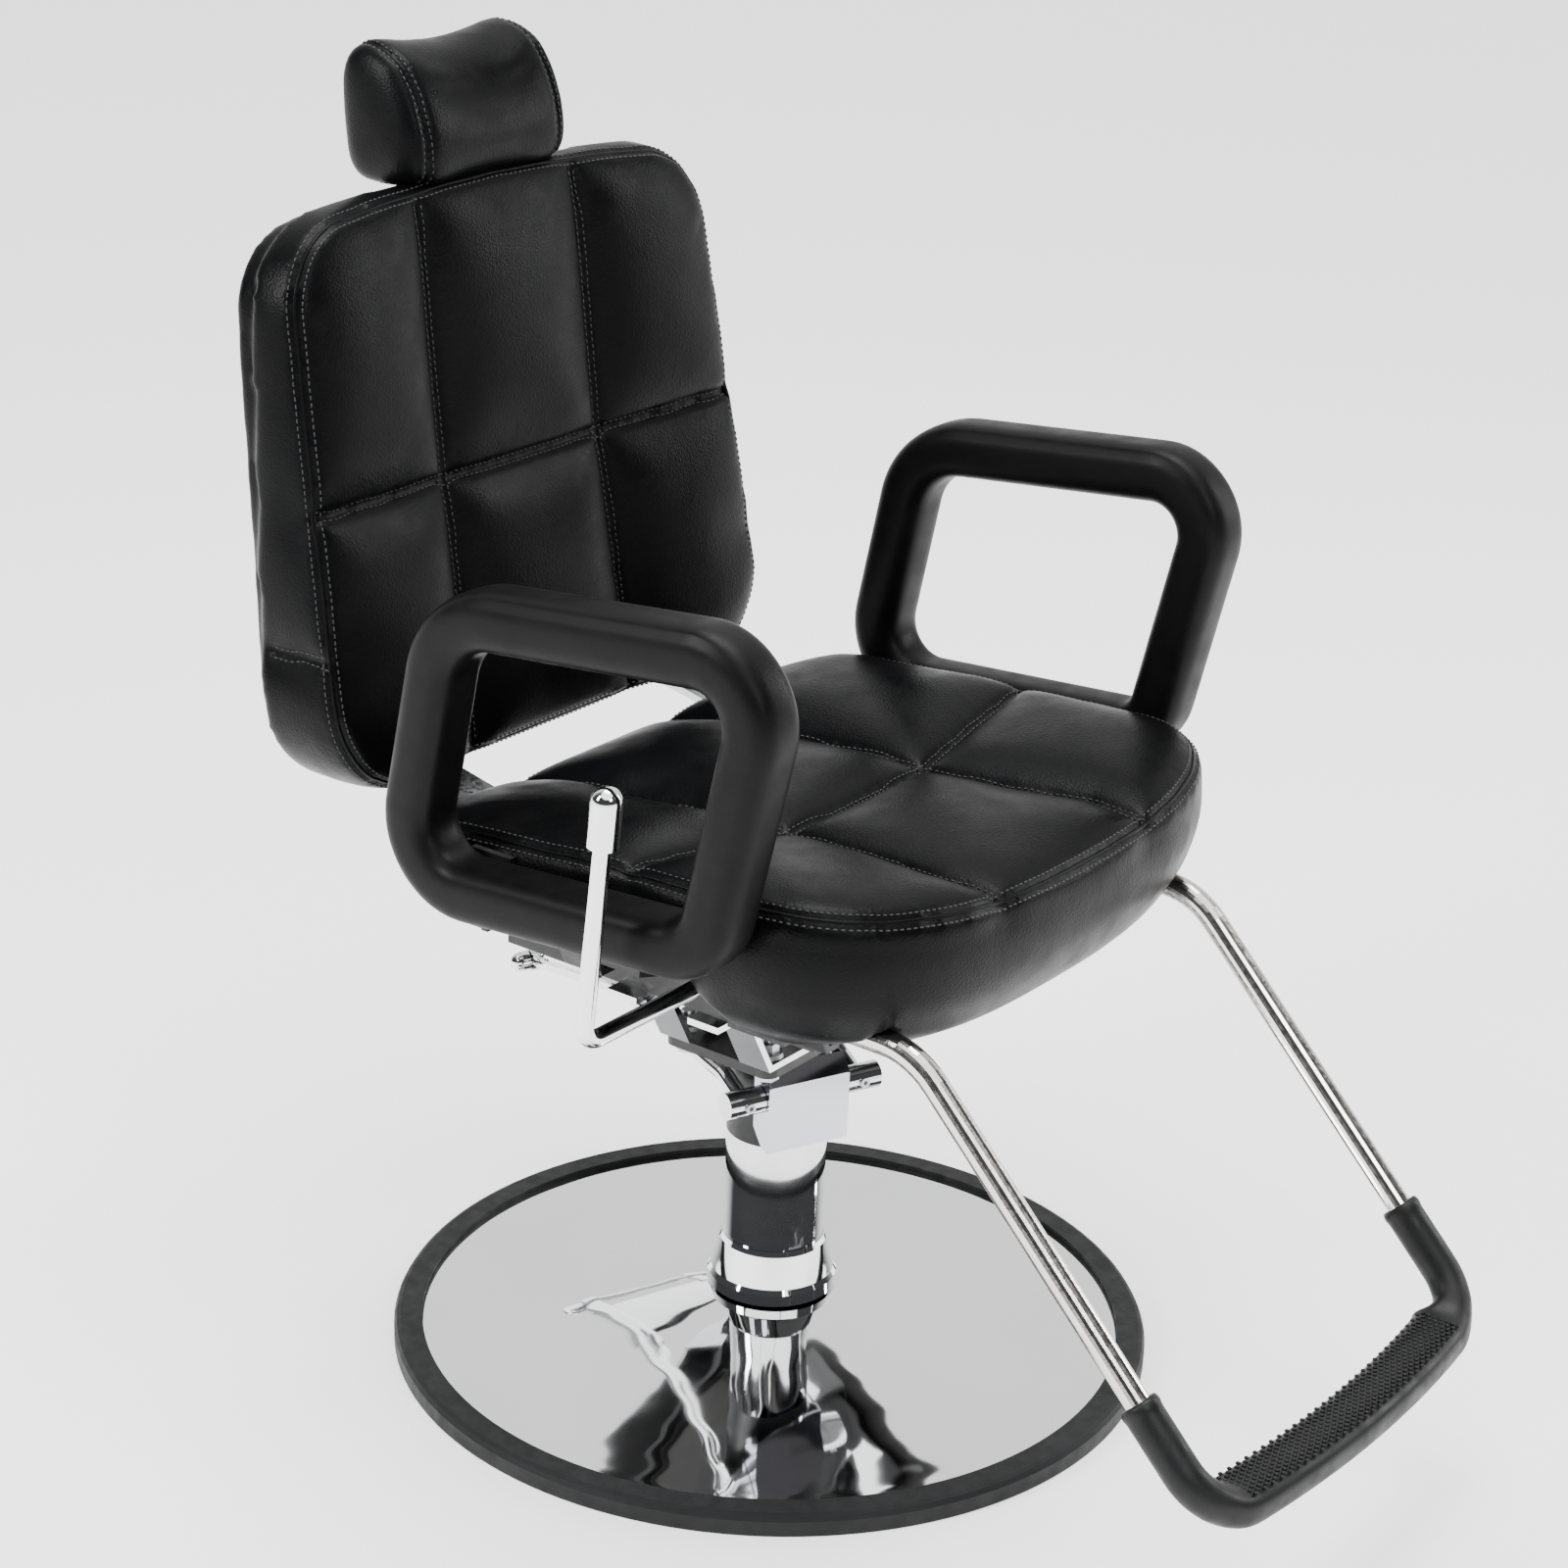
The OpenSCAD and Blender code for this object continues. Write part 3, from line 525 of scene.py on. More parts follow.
def laid(tree, line, offset, pitch, closed):
    """Points every half pitch along a line on a surface, moved sideways by offset, with their normals."""
    points = dense(line, pitch / 2, closed)
    found = [on_surface(tree, p) for p in points]
    spots = settled([hit if hit else p for p, (hit, _) in zip(points, found)], closed)
    normals = settled([n if n else Vector((0, 0, 1)) for _, n in found], closed, 6)
    count = len(spots)
    out = []
    for i, (p, normal) in enumerate(zip(spots, normals)):
        a = spots[i - 1] if closed or i else p
        b = spots[(i + 1) % count] if closed or i < count - 1 else p
        side = normal.cross(b - a).normalized()
        out.append(p + side * offset)
    found = [on_surface(tree, p) for p in out]
    spots = settled([hit if hit else p for p, (hit, _) in zip(out, found)], closed, 2)
    normals = settled([n if n else Vector((0, 0, 1)) for _, n in found], closed, 4)
    return spots, [n.normalized() for n in normals]


def stitches(name, obj, rows, material, length=0.0036, pitch=0.0052, r=0.00058):
    """Rows of thread stitches lying on obj; each row is (line, offset to one side, closed)."""
    tree = surface(obj)
    verts, faces = [], []
    sides = 6
    shape = ((-0.5, 0.25, -1.2), (-0.34, 0.9, 0.1), (0, 1.0, 0.45), (0.34, 0.9, 0.1), (0.5, 0.25, -1.2))
    for line, offset, closed in rows:
        spots, normals = laid(tree, line, offset, pitch, closed)
        for i in range(1, len(spots) - 1, 2):
            run = spots[i + 1] - spots[i - 1]
            normal = normals[i]
            run = run - normal * run.dot(normal)
            if run.length < 1e-6:
                continue
            run.normalize()
            side = normal.cross(run)
            centre = spots[i] + normal * r * 0.3
            start = len(verts)
            for u, w, lift in shape:
                for j in range(sides):
                    turn = 2 * math.pi * j / sides
                    verts.append(centre + run * u * length + side * math.cos(turn) * r * w
                        + normal * (math.sin(turn) * r * w + lift * r))
            for k in range(4):
                for j in range(sides):
                    a0, b0 = start + k * sides, start + (k + 1) * sides
                    j2 = (j + 1) % sides
                    faces.append((a0 + j, a0 + j2, b0 + j2, b0 + j))
            faces.append(tuple(start + j for j in reversed(range(sides))))
            faces.append(tuple(start + 4 * sides + j for j in range(sides)))
    return mesh_object(name, verts, faces, material)


def bead(name, spine, outward, radius, material):
    """A closed welt of rolled leather along a loop."""
    rings = []
    count = len(spine)
    for i, p in enumerate(spine):
        run = (spine[(i + 1) % count] - spine[i - 1]).normalized()
        out = outward[i]
        out = (out - run * out.dot(run)).normalized()
        up = run.cross(out)
        turns = [2 * math.pi * j / 10 for j in range(10)]
        rings.append([p + radius * (out * math.cos(t) + up * math.sin(t)) for t in turns])
    verts, faces = skin(rings, closed=True)
    return mesh_object(name, verts, faces, material)


def piping(name, obj, line, radius, material, body, sink=0.4):
    """A welt along a seam of obj."""
    spots, normals = laid(surface(obj), line, 0.0, 0.008, True)
    spine = [p - n * radius * sink for p, n in zip(spots, normals)]
    welt = bead(name, spine, normals, radius, material)
    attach(welt, body)


# ---------- seat ----------

seat_low, seat_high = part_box("seat_cushion")
SEAT_HW = seat_high.x
SEAT_FRONT = seat_low.y
SEAT_REAR = seat_high.y
SEAT_Z = seat_low.z


def seat_outline(inset, steps=180):
    """Plan of the seat: curved front, straight sides, rounded rear corners."""
    hw, front, rear = SEAT_HW - inset, SEAT_FRONT + inset, SEAT_REAR - inset
    shoulder = SEAT_FRONT + 0.108
    corner = 0.078 - inset * 0.5
    points = []
    for i in range(61):
        a = math.pi * i / 60
        c = math.cos(a)
        points.append((hw * abs(c) ** 0.6 * (1 if c >= 0 else -1),
            shoulder + (front - shoulder) * math.sin(a) ** 0.8))
    for a0, sx in ((math.pi, -1), (math.pi / 2, 1)):
        for i in range(13):
            a = a0 - math.pi / 2 * i / 12
            points.append((sx * (hw - corner) + corner * math.cos(a), rear - corner + corner * math.sin(a)))
    flat = dense([(x, y, 0) for x, y in points], 0.001, closed=True)
    return [flat[int(len(flat) * i / steps)] for i in range(steps)]


def seat_edge(x, y):
    """Height of the seat's top at its seams: it falls to the rear and rises to the sides."""
    middle = along([(SEAT_FRONT, 0.470), (-0.062, 0.463), (0.100, 0.452), (SEAT_REAR, 0.437)], y)
    dish = along([(0.08, 0.022), (SEAT_REAR, 0.009)], y)
    return middle + dish * (x / SEAT_HW) ** 2


def seat_side():
    """(inset, height) down the side: deep at the front and rear, shallow beside the arm straps."""
    front = [(0.002, -0.006), (0.007, -0.020), (0.009, -0.040), (0.016, -0.064), (0.030, -0.086),
        (0.048, -0.097), (0.075, -0.103)]
    side = [(0.002, -0.006), (0.007, -0.018), (0.009, -0.032), (0.013, -0.044), (0.030, -0.053),
        (0.055, -0.060), (0.090, -0.075)]
    return front, side


def make_seat(skin_leather, sewing):
    steps = 180
    rings = []
    outline = seat_outline(0.002, steps)
    centre = Vector((0, -0.02, 0))
    for k in range(1, 13):
        t = k / 12
        ring = []
        for p in outline:
            q = centre + (p - centre) * t
            ring.append(Vector((q.x, q.y, seat_edge(q.x, q.y))))
        rings.append(ring)
    for k in range(7):
        ring = []
        for p in outline:
            front, side = seat_side()
            rear = smooth(SEAT_REAR - 0.035, SEAT_REAR - 0.01, p.y) * (1 - smooth(0.10, 0.17, abs(p.x)))
            share = smooth(-0.125, -0.085, p.y) * (1 - rear)
            inset = lerp(front[k][0], side[k][0], share)
            drop = lerp(front[k][1], side[k][1], share)
            out = Vector((p.x, p.y, 0)) - centre
            scale = 1 - (inset - 0.002) / out.length
            q = centre + out * scale
            z = max(seat_edge(p.x, p.y) + drop, SEAT_Z + 0.004)
            if share < 0.5 and k == 6:
                z = SEAT_Z + 0.001
            ring.append(Vector((q.x, q.y, z)))
        rings.append(ring)
    last = rings[-1]
    for t in (0.75, 0.45, 0.2):
        rings.append([Vector((p.x * t, centre.y + (p.y - centre.y) * t, SEAT_Z + 0.001)) for p in last])
    verts, faces = skin(rings)

    def at(x, y):
        return Vector((x, y, seat_edge(x, y)))

    cross_y = -0.062
    cross_x = 0.083
    lengthwise = []
    for s in (-1, 1):
        curve = [(s * 0.088, SEAT_REAR - 0.003), (s * 0.089, 0.10), (s * 0.0865, 0.0), (s * cross_x, cross_y),
            (s * 0.087, -0.14), (s * 0.096, -0.20), (s * 0.093, SEAT_FRONT + 0.005)]
        lengthwise.append(dense([at(*p) for p in curve], 0.003))
    across = [(-SEAT_HW + 0.002, -0.045), (-0.16, -0.052), (-cross_x, cross_y), (0, cross_y - 0.001),
        (cross_x, cross_y), (0.16, -0.052), (SEAT_HW - 0.002, -0.045)]
    crosswise = dense([at(*p) for p in across], 0.003)
    edge = dense([at(p.x, p.y) for p in outline], 0.003, closed=True)
    seams = [*lengthwise, crosswise]

    def underside(p):
        front_part = p.y < -0.11
        return p.z < SEAT_Z + (0.016 if front_part else 0.03) or (not front_part and abs(p.x) > 0.15
            and p.z < 0.405)

    seat = padded_piece("seat_pad", verts, faces, [*seams, edge], 0.015, 0.003, also_held=underside)
    sew(seat, seams, 0.004, 0.0042)
    sew(seat, [edge], 0.0018, 0.005)
    press_for_tube(seat)
    seat.data.materials.append(skin_leather)
    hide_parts("seat_cushion")
    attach(seat, "seat")
    piping("seat_piping", seat, edge, 0.0018, skin_leather, "seat")
    rows = [(line, side * 0.0046, False) for line in seams for side in (-1, 1)]
    rows += [(edge, 0.0055, True), (edge, -0.0055, True)]
    threads = stitches("seat_stitching", seat, rows, sewing)
    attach(threads, "seat")
    return seat


def press_for_tube(seat):
    """The foam gives way over the footrest's tubes."""
    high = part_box("footrest_tube")[1]
    r = 0.0105
    tube_x = 0.182
    for v in seat.data.vertices:
        across = abs(abs(v.co.x) - tube_x)
        if across < r * 2.2 and v.co.y < -0.10 and v.co.z < high.z + 0.012:
            roof = 0.3885 + math.sqrt(max(r * r - min(across, r) ** 2, 0)) - max(across - r, 0) * 1.2
            v.co.z = max(v.co.z, roof)
    seat.data.update()


# ---------- backrest ----------

back_low, back_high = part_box("back_cushion")
BACK_Y = 0.216
BACK_Z = back_low.z
BACK_W = 0.486
BACK_H = 0.414
BACK_TAPER = 0.016
BACK_DISH = 0.018
REAR_Y = 0.284
FACE_TILT = math.radians(9.7)
REAR_TILT = math.radians(4.0)


def face_point(x, up, deep):
    """From the backrest face's own frame to the row frame."""
    c, s = math.cos(FACE_TILT), math.sin(FACE_TILT)
    return Vector((x, BACK_Y + up * s + deep * c, 0.460 + up * c - deep * s))


def rear_point(x, up, out):
    """From the rear panel's own frame to the row frame; the rear is a little lower than the face."""
    c, s = math.cos(REAR_TILT), math.sin(REAR_TILT)
    up = up * 0.976
    return Vector((x, REAR_Y + up * s + out * c, 0.460 + up * c - out * s))


def rim(up):
    """How far the rear panel's edge stands behind the board, more towards the top."""
    return lerp(0.018, 0.033, smooth(0.03, 0.40, up))


def back_outline(inset, steps=160):
    """Outline of the backrest as (x, up): narrower at the top, which is arched, with round corners."""
    low, high = 0.074 - inset, 0.062 - inset
    low_x = BACK_W / 2 - inset - low
    high_x = BACK_W / 2 - inset - high - BACK_TAPER
    spots = [(low_x, 0.074, low), (high_x, BACK_H - 0.066, high), (-high_x, BACK_H - 0.066, high),
        (-low_x, 0.074, low)]
    points = []
    for i, (x, z, r) in enumerate(spots):
        for k in range(13):
            a = math.radians(-90 + 90 * i + 7.5 * k)
            points.append((x + r * math.cos(a), z + r * math.sin(a), 0))
        if i == 1:
            top = points[-1][1]
            points += [(high_x * t, top + 0.009 * (1 - t * t), 0) for t in
                (0.9, 0.75, 0.5, 0.25, 0, -0.25, -0.5, -0.75, -0.9)]
    flat = dense(points, 0.001, closed=True)
    return [flat[int(len(flat) * i / steps)] for i in range(steps)]


def face_depth(x, up=0.0):
    """The face is dished, less so towards the top."""
    return BACK_DISH * (1 - 0.4 * smooth(0.22, 0.41, up)) * (1 - (2 * x / BACK_W) ** 2) - 0.002


def make_back(skin_leather, sewing):
    steps = 160
    outline = back_outline(-0.005, steps)
    centre = Vector((0, BACK_H / 2, 0))
    rings = []
    for k in range(1, 13):
        ring = []
        for p in outline:
            q = centre + (p - centre) * (k / 12)
            ring.append(face_point(q.x, q.y, face_depth(q.x, q.y)))
        rings.append(ring)
    side = [(0.0, 0.05), (0.003, 0.14), (0.005, 0.35), (0.005, 0.6), (0.003, 0.82), (0.003, 0.93),
        (0.008, 1.0), (0.016, 1.0)]
    for inset, share in side:
        ring = []
        for p in outline:
            out = p - centre
            q = centre + out * (1 - inset / out.length)
            front = face_point(q.x, q.y, face_depth(q.x, q.y))
            rear = rear_point(q.x, q.y, lerp(rim(q.y), 0.005, bracket_room(q.x, q.y)))
            ring.append(front.lerp(rear, share))
        rings.append(ring)
    for t in (0.85, 0.5, 0.2):
        rings.append([rear_point(p.x * t, centre.y + (p.y - centre.y) * t, -0.001) for p in outline])
    verts, faces = skin(rings)

    def at(x, up):
        return face_point(x, up, face_depth(x, up))

    cross = 0.207
    upright = []
    for s in (-1, 1):
        curve = [(s * 0.087, BACK_H - 0.003), (s * 0.0885, 0.33), (s * 0.089, cross), (s * 0.091, 0.10),
            (s * 0.094, 0.003)]
        upright.append(dense([at(*p) for p in curve], 0.003))
    level = dense([at(x, cross + 0.004 * (abs(x) / 0.24) ** 2) for x in
        (-0.236, -0.16, -0.09, 0, 0.09, 0.16, 0.236)], 0.003)
    edge = dense([at(p.x, p.y) for p in outline], 0.003, closed=True)
    rear_edge = dense(rings[-4], 0.003, closed=True)
    seams = [*upright, level]
    corners = []
    for s in (-1, 1):
        spot = min(outline, key=lambda p: (p.x - s * 0.245) ** 2 + (p.y - 0.10) ** 2)
        corners.append(dense([at(spot.x, spot.y), rear_point(spot.x, spot.y, -0.001)], 0.003))

    def rear_side(p):
        local = (p - rear_point(0, 0, 0)).dot(Vector((0, math.cos(REAR_TILT), -math.sin(REAR_TILT))))
        return local > 0.008

    lines = [*seams, edge, rear_edge, *corners]
    back = padded_piece("back_pad", verts, faces, lines, 0.014, 0.003, also_held=rear_side)
    sew(back, seams, 0.004, 0.0042)
    sew(back, [edge], 0.0018, 0.005)
    sew(back, corners, 0.0022, 0.003)
    back.data.materials.append(skin_leather)
    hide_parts("back_cushion")
    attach(back, "back")
    piping("back_piping", back, edge, 0.0018, skin_leather, "back")
    rows = [(line, s * 0.0046, False) for line in (*seams, *corners) for s in (-1, 1)]
    rows += [(edge, 0.0055, True), (edge, -0.0055, True)]
    threads = stitches("back_stitching", back, rows, sewing)
    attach(threads, "back")
    return back


def bracket_room(x, up):
    """How far the cover is pressed down beside the steel brackets, from 0 to 1."""
    room = 0.0
    for a, b in ((-0.148, -0.088), (0.168, 0.208)):
        beside = 1 - smooth(0.001, 0.014, max(a - x, x - b, 0))
        room = max(room, beside)
    return room * (1 - smooth(0.136, 0.156, up))


def make_cover(skin_leather, sewing):
    """The padded panel that closes the backrest's rear."""
    steps = 160
    outline = back_outline(0.008, steps)
    centre = Vector((0, BACK_H / 2, 0))
    rings = [[rear_point(centre.x + (p.x - centre.x) * t, centre.y + (p.y - centre.y) * t, 0.0008)
        for p in outline] for t in (0.3, 0.7, 1.0)]
    for k in range(14):
        t = max(1 - k / 13.0, 0.02)
        ring = []
        for p in outline:
            q = centre + (p - centre) * t
            full = rim(q.y) - 0.002 + 0.014 * (1 - t ** 3.0)
            ring.append(rear_point(q.x, q.y, lerp(full, 0.0065, bracket_room(q.x, q.y))))
        rings.append(ring)
    verts, faces = skin(rings)
    edge = dense([rear_point(p.x, p.y, lerp(rim(p.y) - 0.001, 0.006, bracket_room(p.x, p.y)))
        for p in outline], 0.003, closed=True)

    def held(p):
        local = p - rear_point(0, 0, 0)
        out = local.dot(Vector((0, math.cos(REAR_TILT), -math.sin(REAR_TILT))))
        up = local.dot(Vector((0, math.sin(REAR_TILT), math.cos(REAR_TILT))))
        return out < 0.006 or bracket_room(p.x, up) > 0.25

    cover = padded_piece("back_rear_cover", verts, faces, [edge], 0.0, 0.007, also_held=held)
    cover.data.materials.append(skin_leather)
    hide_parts("back_cover")
    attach(cover, "back")
    piping("back_rear_welt", cover, edge, 0.0026, skin_leather, "back", 0.2)
    inner = [rear_point(p.x, p.y, lerp(rim(p.y) + 0.004, 0.006, bracket_room(p.x, p.y)))
        for p in back_outline(0.017, steps)]
    threads = stitches("back_cover_stitching", cover, [(inner, 0.0, True)], sewing)
    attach(threads, "back")


# ---------- headrest ----------

def make_headrest(skin_leather, sewing):
    """The head roll: one saddle-shaped barrel with a sewn cap at each end."""
    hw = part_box("headrest_cushion")[1].x
    z = 0.412 / 0.976
    section = [(-14, 0), (-21, 6), (-24, 20), (-22, 42), (-14, 66), (0, 88), (16, 97), (32, 101), (44, 95),
        (51, 81), (52, 50), (50, 14), (43, 3), (34, 0)]
    profile = dense([(y / 1000, u * 1.07 / 1000, 0) for y, u in section], 0.0005, closed=True)
    count = 96
    profile = [profile[int(len(profile) * i / count)] for i in range(count)]
    for _ in range(6):
        profile = [(profile[i - 1] + profile[i] * 2 + profile[(i + 1) % count]) / 4 for i in range(count)]
    profile = [Vector((p.x * (1.1 if p.x > 0 else 1.0), p.y, 0)) for p in profile]
    middle = Vector((0.016, 0.048, 0))

    def ring(x, scale, dip=0.0):
        points = []
        for p in profile:
            q = middle + (p - middle) * scale
            top = smooth(0.05, 0.1, q.y)
            back = q.x + 0.4 * dip * (1 - smooth(-0.01, 0.02, q.x))
            points.append(rear_point(x, z + (q.y - dip * top) / 0.976, back))
        return points

    seam_x = hw - 0.013
    base = 0.975
    rings = []
    for x, scale in ((-hw + 0.001, 0.34), (-hw + 0.002, 0.60), (-hw + 0.004, 0.79), (-hw + 0.008, 0.91)):
        rings.append(ring(x, scale))
    for i in range(25):
        x = lerp(-seam_x, seam_x, i / 24)
        rings.append(ring(x, base, 0.010 * (1 - (x / seam_x) ** 2)))
    for x, scale in ((hw - 0.008, 0.91), (hw - 0.004, 0.79), (hw - 0.002, 0.60), (hw - 0.001, 0.34)):
        rings.append(ring(x, scale))
    verts, faces = skin(rings)
    ends = [dense(ring(s * seam_x, base), 0.003, closed=True) for s in (-1, 1)]
    pad = padded_piece("headrest_pad", verts, faces, ends, 0.004, 0.004, voxel=0.004, cap=0.014, roll=0.008)
    sew(pad, ends, 0.0032, 0.0035)
    pad.data.materials.append(skin_leather)
    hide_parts("headrest_cushion")
    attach(pad, "headrest")
    rows = [(line, s * 0.0045, True) for line in ends for s in (-1, 1)]
    threads = stitches("headrest_stitching", pad, rows, sewing)
    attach(threads, "headrest")


# ---------- arms ----------

def rounded_path(points, radii, closed, steps=16):
    out = []
    n = len(points)
    for i, p in enumerate(points):
        if not closed and i in (0, n - 1):
            out.append(Vector(p))
            continue
        p = Vector(p)
        a = (p - Vector(points[i - 1])).normalized()
        b = (Vector(points[(i + 1) % n]) - p).normalized()
        angle = a.angle(b)
        r = radii[i]
        cut = r * math.tan(angle / 2)
        side = (b - a * a.dot(b)).normalized()
        start = p - a * cut
        for k in range(steps + 1):
            t = angle * k / steps
            out.append(start + side * r * (1 - math.cos(t)) + a * r * math.sin(t))
    return out


def make_armrest(side, material):
    """A moulded loop with a thumb-wide raised pad along its top, ending in a rounded tongue."""
    name = "armrest_left" if side > 0 else "armrest_right"
    low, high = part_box(name)
    middle = (low.x + high.x) / 2
    half_w, half_t = (high.x - low.x) / 2, 0.0215
    top = 0.330
    points = [(middle, -0.146, top + 0.132), (middle, -0.194, top + 0.347), (middle, 0.086, top + 0.319),
        (middle, 0.126, top + 0.113)]
    line = rounded_path(points, [0.038, 0.044, 0.062, 0.048], True, 20)
    line = dense(line, 0.004, closed=True)
    n = len(line)
    rings = []
    around = 56
    for i, p in enumerate(line):
        run = (line[(i + 1) % n] - line[i - 1]).normalized()
        out = Vector((1, 0, 0)).cross(run)
        if out.dot(p - Vector((middle, -0.03, top + 0.22))) < 0:
            out = -out
        ring = []
        on_top = smooth(top + 0.27, top + 0.30, p.z) * (1 - smooth(-0.030, 0.012, abs(p.y + 0.052) - 0.115))
        for j in range(around):
            a = 2 * math.pi * j / around
            c, s = math.cos(a), math.sin(a)
            x = half_w * math.copysign(abs(c) ** 0.62, c)
            t = half_t * math.copysign(abs(s) ** 0.66, s)
            face = smooth(0.15, 0.55, s)
            step = 0.0016 * on_top * face * smooth(0.86, 0.80, abs(x) / half_w)
            ring.append(p + Vector((1, 0, 0)) * x * 0.994 + out * (t * 0.994 - 0.0008 + step))
        rings.append(ring)
    verts, faces = skin(rings, closed=True)
    arm = mesh_object(name + "_moulding", verts, faces, material)
    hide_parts(name)
    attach(arm, "seat")


# ---------- footrest pad ----------

def make_foot_pad(material):
    """The rubber sleeve over the footrest's bar, with a dimpled tread."""
    tube_x = 0.182
    slope = Vector((0, -math.cos(math.radians(45.6)), -math.sin(math.radians(45.6))))
    bar = Vector((0, -0.248, 0.387)) + slope * 0.371
    left, right = bar - Vector((tube_x, 0, 0)), bar + Vector((tube_x, 0, 0))
    route = [left - slope * 0.095, left, right, right - slope * 0.095]
    line = dense(rounded_path(route, [0, 0.042, 0.042, 0], False, 14), 0.0025)
    bow = 1.1
    rings = []
    count = len(line)
    around = 72
    for i, p in enumerate(line):
        a, b = line[max(i - 1, 0)], line[min(i + 1, count - 1)]
        run = (b - a).normalized()
        flat = smooth(0.176, 0.150, abs(p.x))
        middle = p.copy()
        arc = bow * (1 - math.cos(math.asin(min(abs(p.x), 0.17) / bow)))
        middle.y += (arc - 0.003) * flat
        middle.z -= 0.002 * flat
        across = Vector((0, 1, 0)) - run * run.y
        across.normalize()
        up = run.cross(across)
        if up.z < 0:
            up = -up
        ring = []
        end = min(i, count - 1 - i)
        lip = 1 - 0.10 * (1 - smooth(0, 1.5, end)) + 0.06 * (1 - smooth(1.5, 4, end))
        for j in range(around):
            t = 2 * math.pi * j / around
            c, s = math.cos(t), math.sin(t)
            round_w, round_h = 0.014 * lip, 0.014 * lip
            w = lerp(round_w * c, 0.022 * math.copysign(abs(c) ** 0.7, c), flat)
            h = lerp(round_h * s, 0.0138 * math.copysign(abs(s) ** 0.7, s), flat)
            ring.append(middle + across * w + up * h)
        rings.append(ring)
    verts, faces = skin(rings)
    pad = mesh_object("footrest_pad_rubber", verts, faces, material)
    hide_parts("footrest_pad")
    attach(pad, "seat")
    make_tread(bar, bow, material)


def make_tread(bar, bow, material):
    """Rows of small round studs on the pad's top."""
    verts, faces = [], []
    r = 0.0019
    pitch = 0.0048
    columns = int(0.292 / pitch)
    for i in range(columns + 1):
        x = -0.146 + i * pitch
        arc = bow * (1 - math.cos(math.asin(abs(x) / bow)))
        for k in range(-3, 4):
            shift = 0.5 * pitch if i % 2 else 0.0
            y = bar.y - 0.003 + arc + k * pitch + shift - 0.0012
            if abs(k * pitch + shift - 0.0012) > 0.0165:
                continue
            z = bar.z - 0.002 + 0.0134
            start = len(verts)
            for level, (w, up) in enumerate(((1.0, 0.0), (0.86, 0.0009), (0.5, 0.0014))):
                for j in range(10):
                    a = 2 * math.pi * j / 10
                    verts.append((x + r * w * math.cos(a), y + r * w * math.sin(a), z + up))
            for level in range(2):
                for j in range(10):
                    a0, b0 = start + level * 10, start + (level + 1) * 10
                    j2 = (j + 1) % 10
                    faces.append((a0 + j, a0 + j2, b0 + j2, b0 + j))
            faces.append(tuple(start + 20 + j for j in range(10)))
            faces.append(tuple(start + j for j in reversed(range(10))))
    studs = mesh_object("footrest_tread", verts, faces, material)
    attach(studs, "seat")


# ---------- base dish ----------

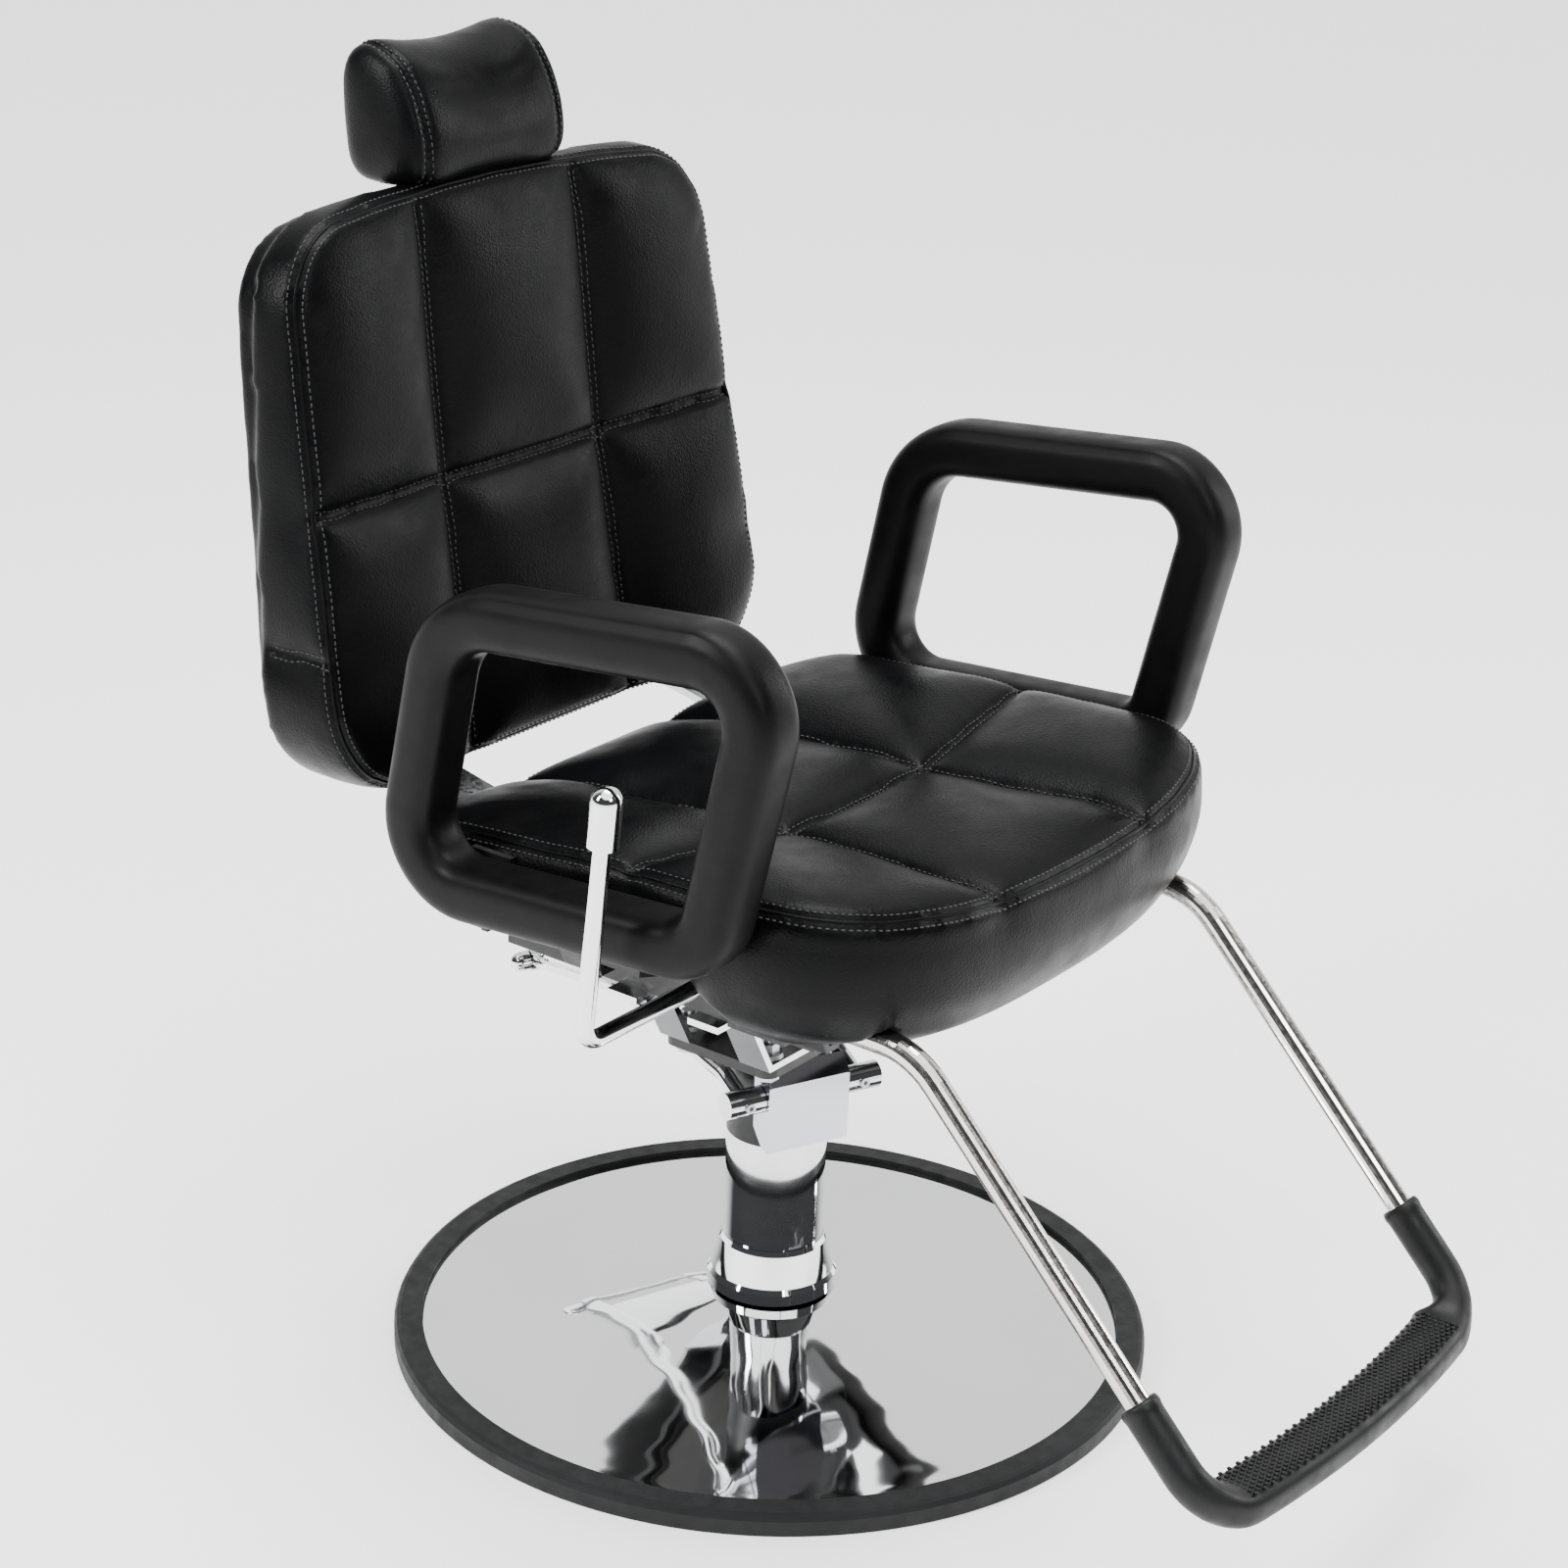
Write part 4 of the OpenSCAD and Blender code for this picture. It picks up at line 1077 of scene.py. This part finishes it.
def make_dish(material):
    """The spun dish, with the faint ripples that bend its reflections."""
    low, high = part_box("base_dish")
    outer, inner = high.x, 0.04
    thick = 0.002
    rim = low.z + thick
    around, steps = 288, 84
    radii = [lerp(outer, inner, i / steps) for i in range(steps + 1)]
    rings = []
    for r in radii:
        ring = []
        for j in range(around):
            a = 2 * math.pi * j / around
            x, y = r * math.cos(a), r * math.sin(a)
            z = rim + (high.z - rim) * ((outer - r) / (outer - inner)) ** 1.15
            ripple = noise.noise(Vector((x * 20, y * 20, 3.0)))
            ripple += 0.3 * noise.noise(Vector((x * 42, y * 42, 7.0)))
            fade = smooth(0, 0.01, outer - r) * smooth(0, 0.01, r - inner)
            ring.append(Vector((x, y, z + 0.0003 * ripple * fade)))
        rings.append(ring)
    for r in (inner, outer):
        z = rim + (high.z - rim) * ((outer - r) / (outer - inner)) ** 1.15 - thick
        turns = [2 * math.pi * j / around for j in range(around)]
        rings.append([Vector((r * math.cos(t), r * math.sin(t), z)) for t in turns])
    verts, faces = skin(rings, closed=True)
    dish = mesh_object("base_dish_spun", verts, faces, material)
    dish.data.set_sharp_from_angle(angle=math.radians(40))
    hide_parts("base_dish")
    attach(dish, "base")


# ---------- finishes of the CAD nodes ----------

def paint(material, *names):
    for name in names:
        slots = NODES[name].data.materials
        if len(slots) == 0:
            slots.append(material)
        for i in range(len(slots)):
            slots[i] = material


def finish_nodes():
    bright = chrome()
    paint(chrome("cover_chrome", (0.62, 0.62, 0.69), 0.06), "head_cover")
    paint(bright, "column_tube", "column_collar", "piston", "lever_shaft",
        "lever_hubs", "pedal_nuts", "recline_lever", "lever_knob", "headrest_posts", "pedal_rod",
        "treadle_plate", "pump_arms", "mount_straps")
    paint(polished_steel(), "footrest_tube", "lock_rod")
    paint(zinc_plate(), "plate_bolts", "arm_bolts", "hub_screws", "bracket_screws", "base_bolts",
        "spindle_nut", "thrust_washer", "hinge_pins", "lock_pin")
    paint(polished_steel("bracket_steel", (0.55, 0.56, 0.57), 0.3), "back_brackets")
    paint(painted_steel(), "base_plate", "top_plate", "headrest_plate", "seat_rail_right", "seat_rail_left",
        "front_crossbar", "rear_crossbar", "arm_straps", "footrest_sockets", "hinge_ears", "lock_body",
        "lock_clamps", "lever_bearing", "pump_head", "post_sleeves")
    paint(rubber("base_rubber"), "base_ring")
    paint(plywood(), "seat_board", "back_board")
    paint(nylon(), "guide_bush")


make_camera()
make_studio()
make_floor()
finish_nodes()
upholstery = leather("upholstery")
sewing_thread = thread()
arm_finish = moulded_foam()
make_seat(upholstery, sewing_thread)
make_back(upholstery, sewing_thread)
make_cover(upholstery, sewing_thread)
make_headrest(upholstery, sewing_thread)
make_armrest(-1, arm_finish)
make_armrest(1, arm_finish)
make_dish(chrome("dish_chrome"))
make_foot_pad(rubber("tread_rubber", (0.005, 0.0052, 0.0056), 0.45))
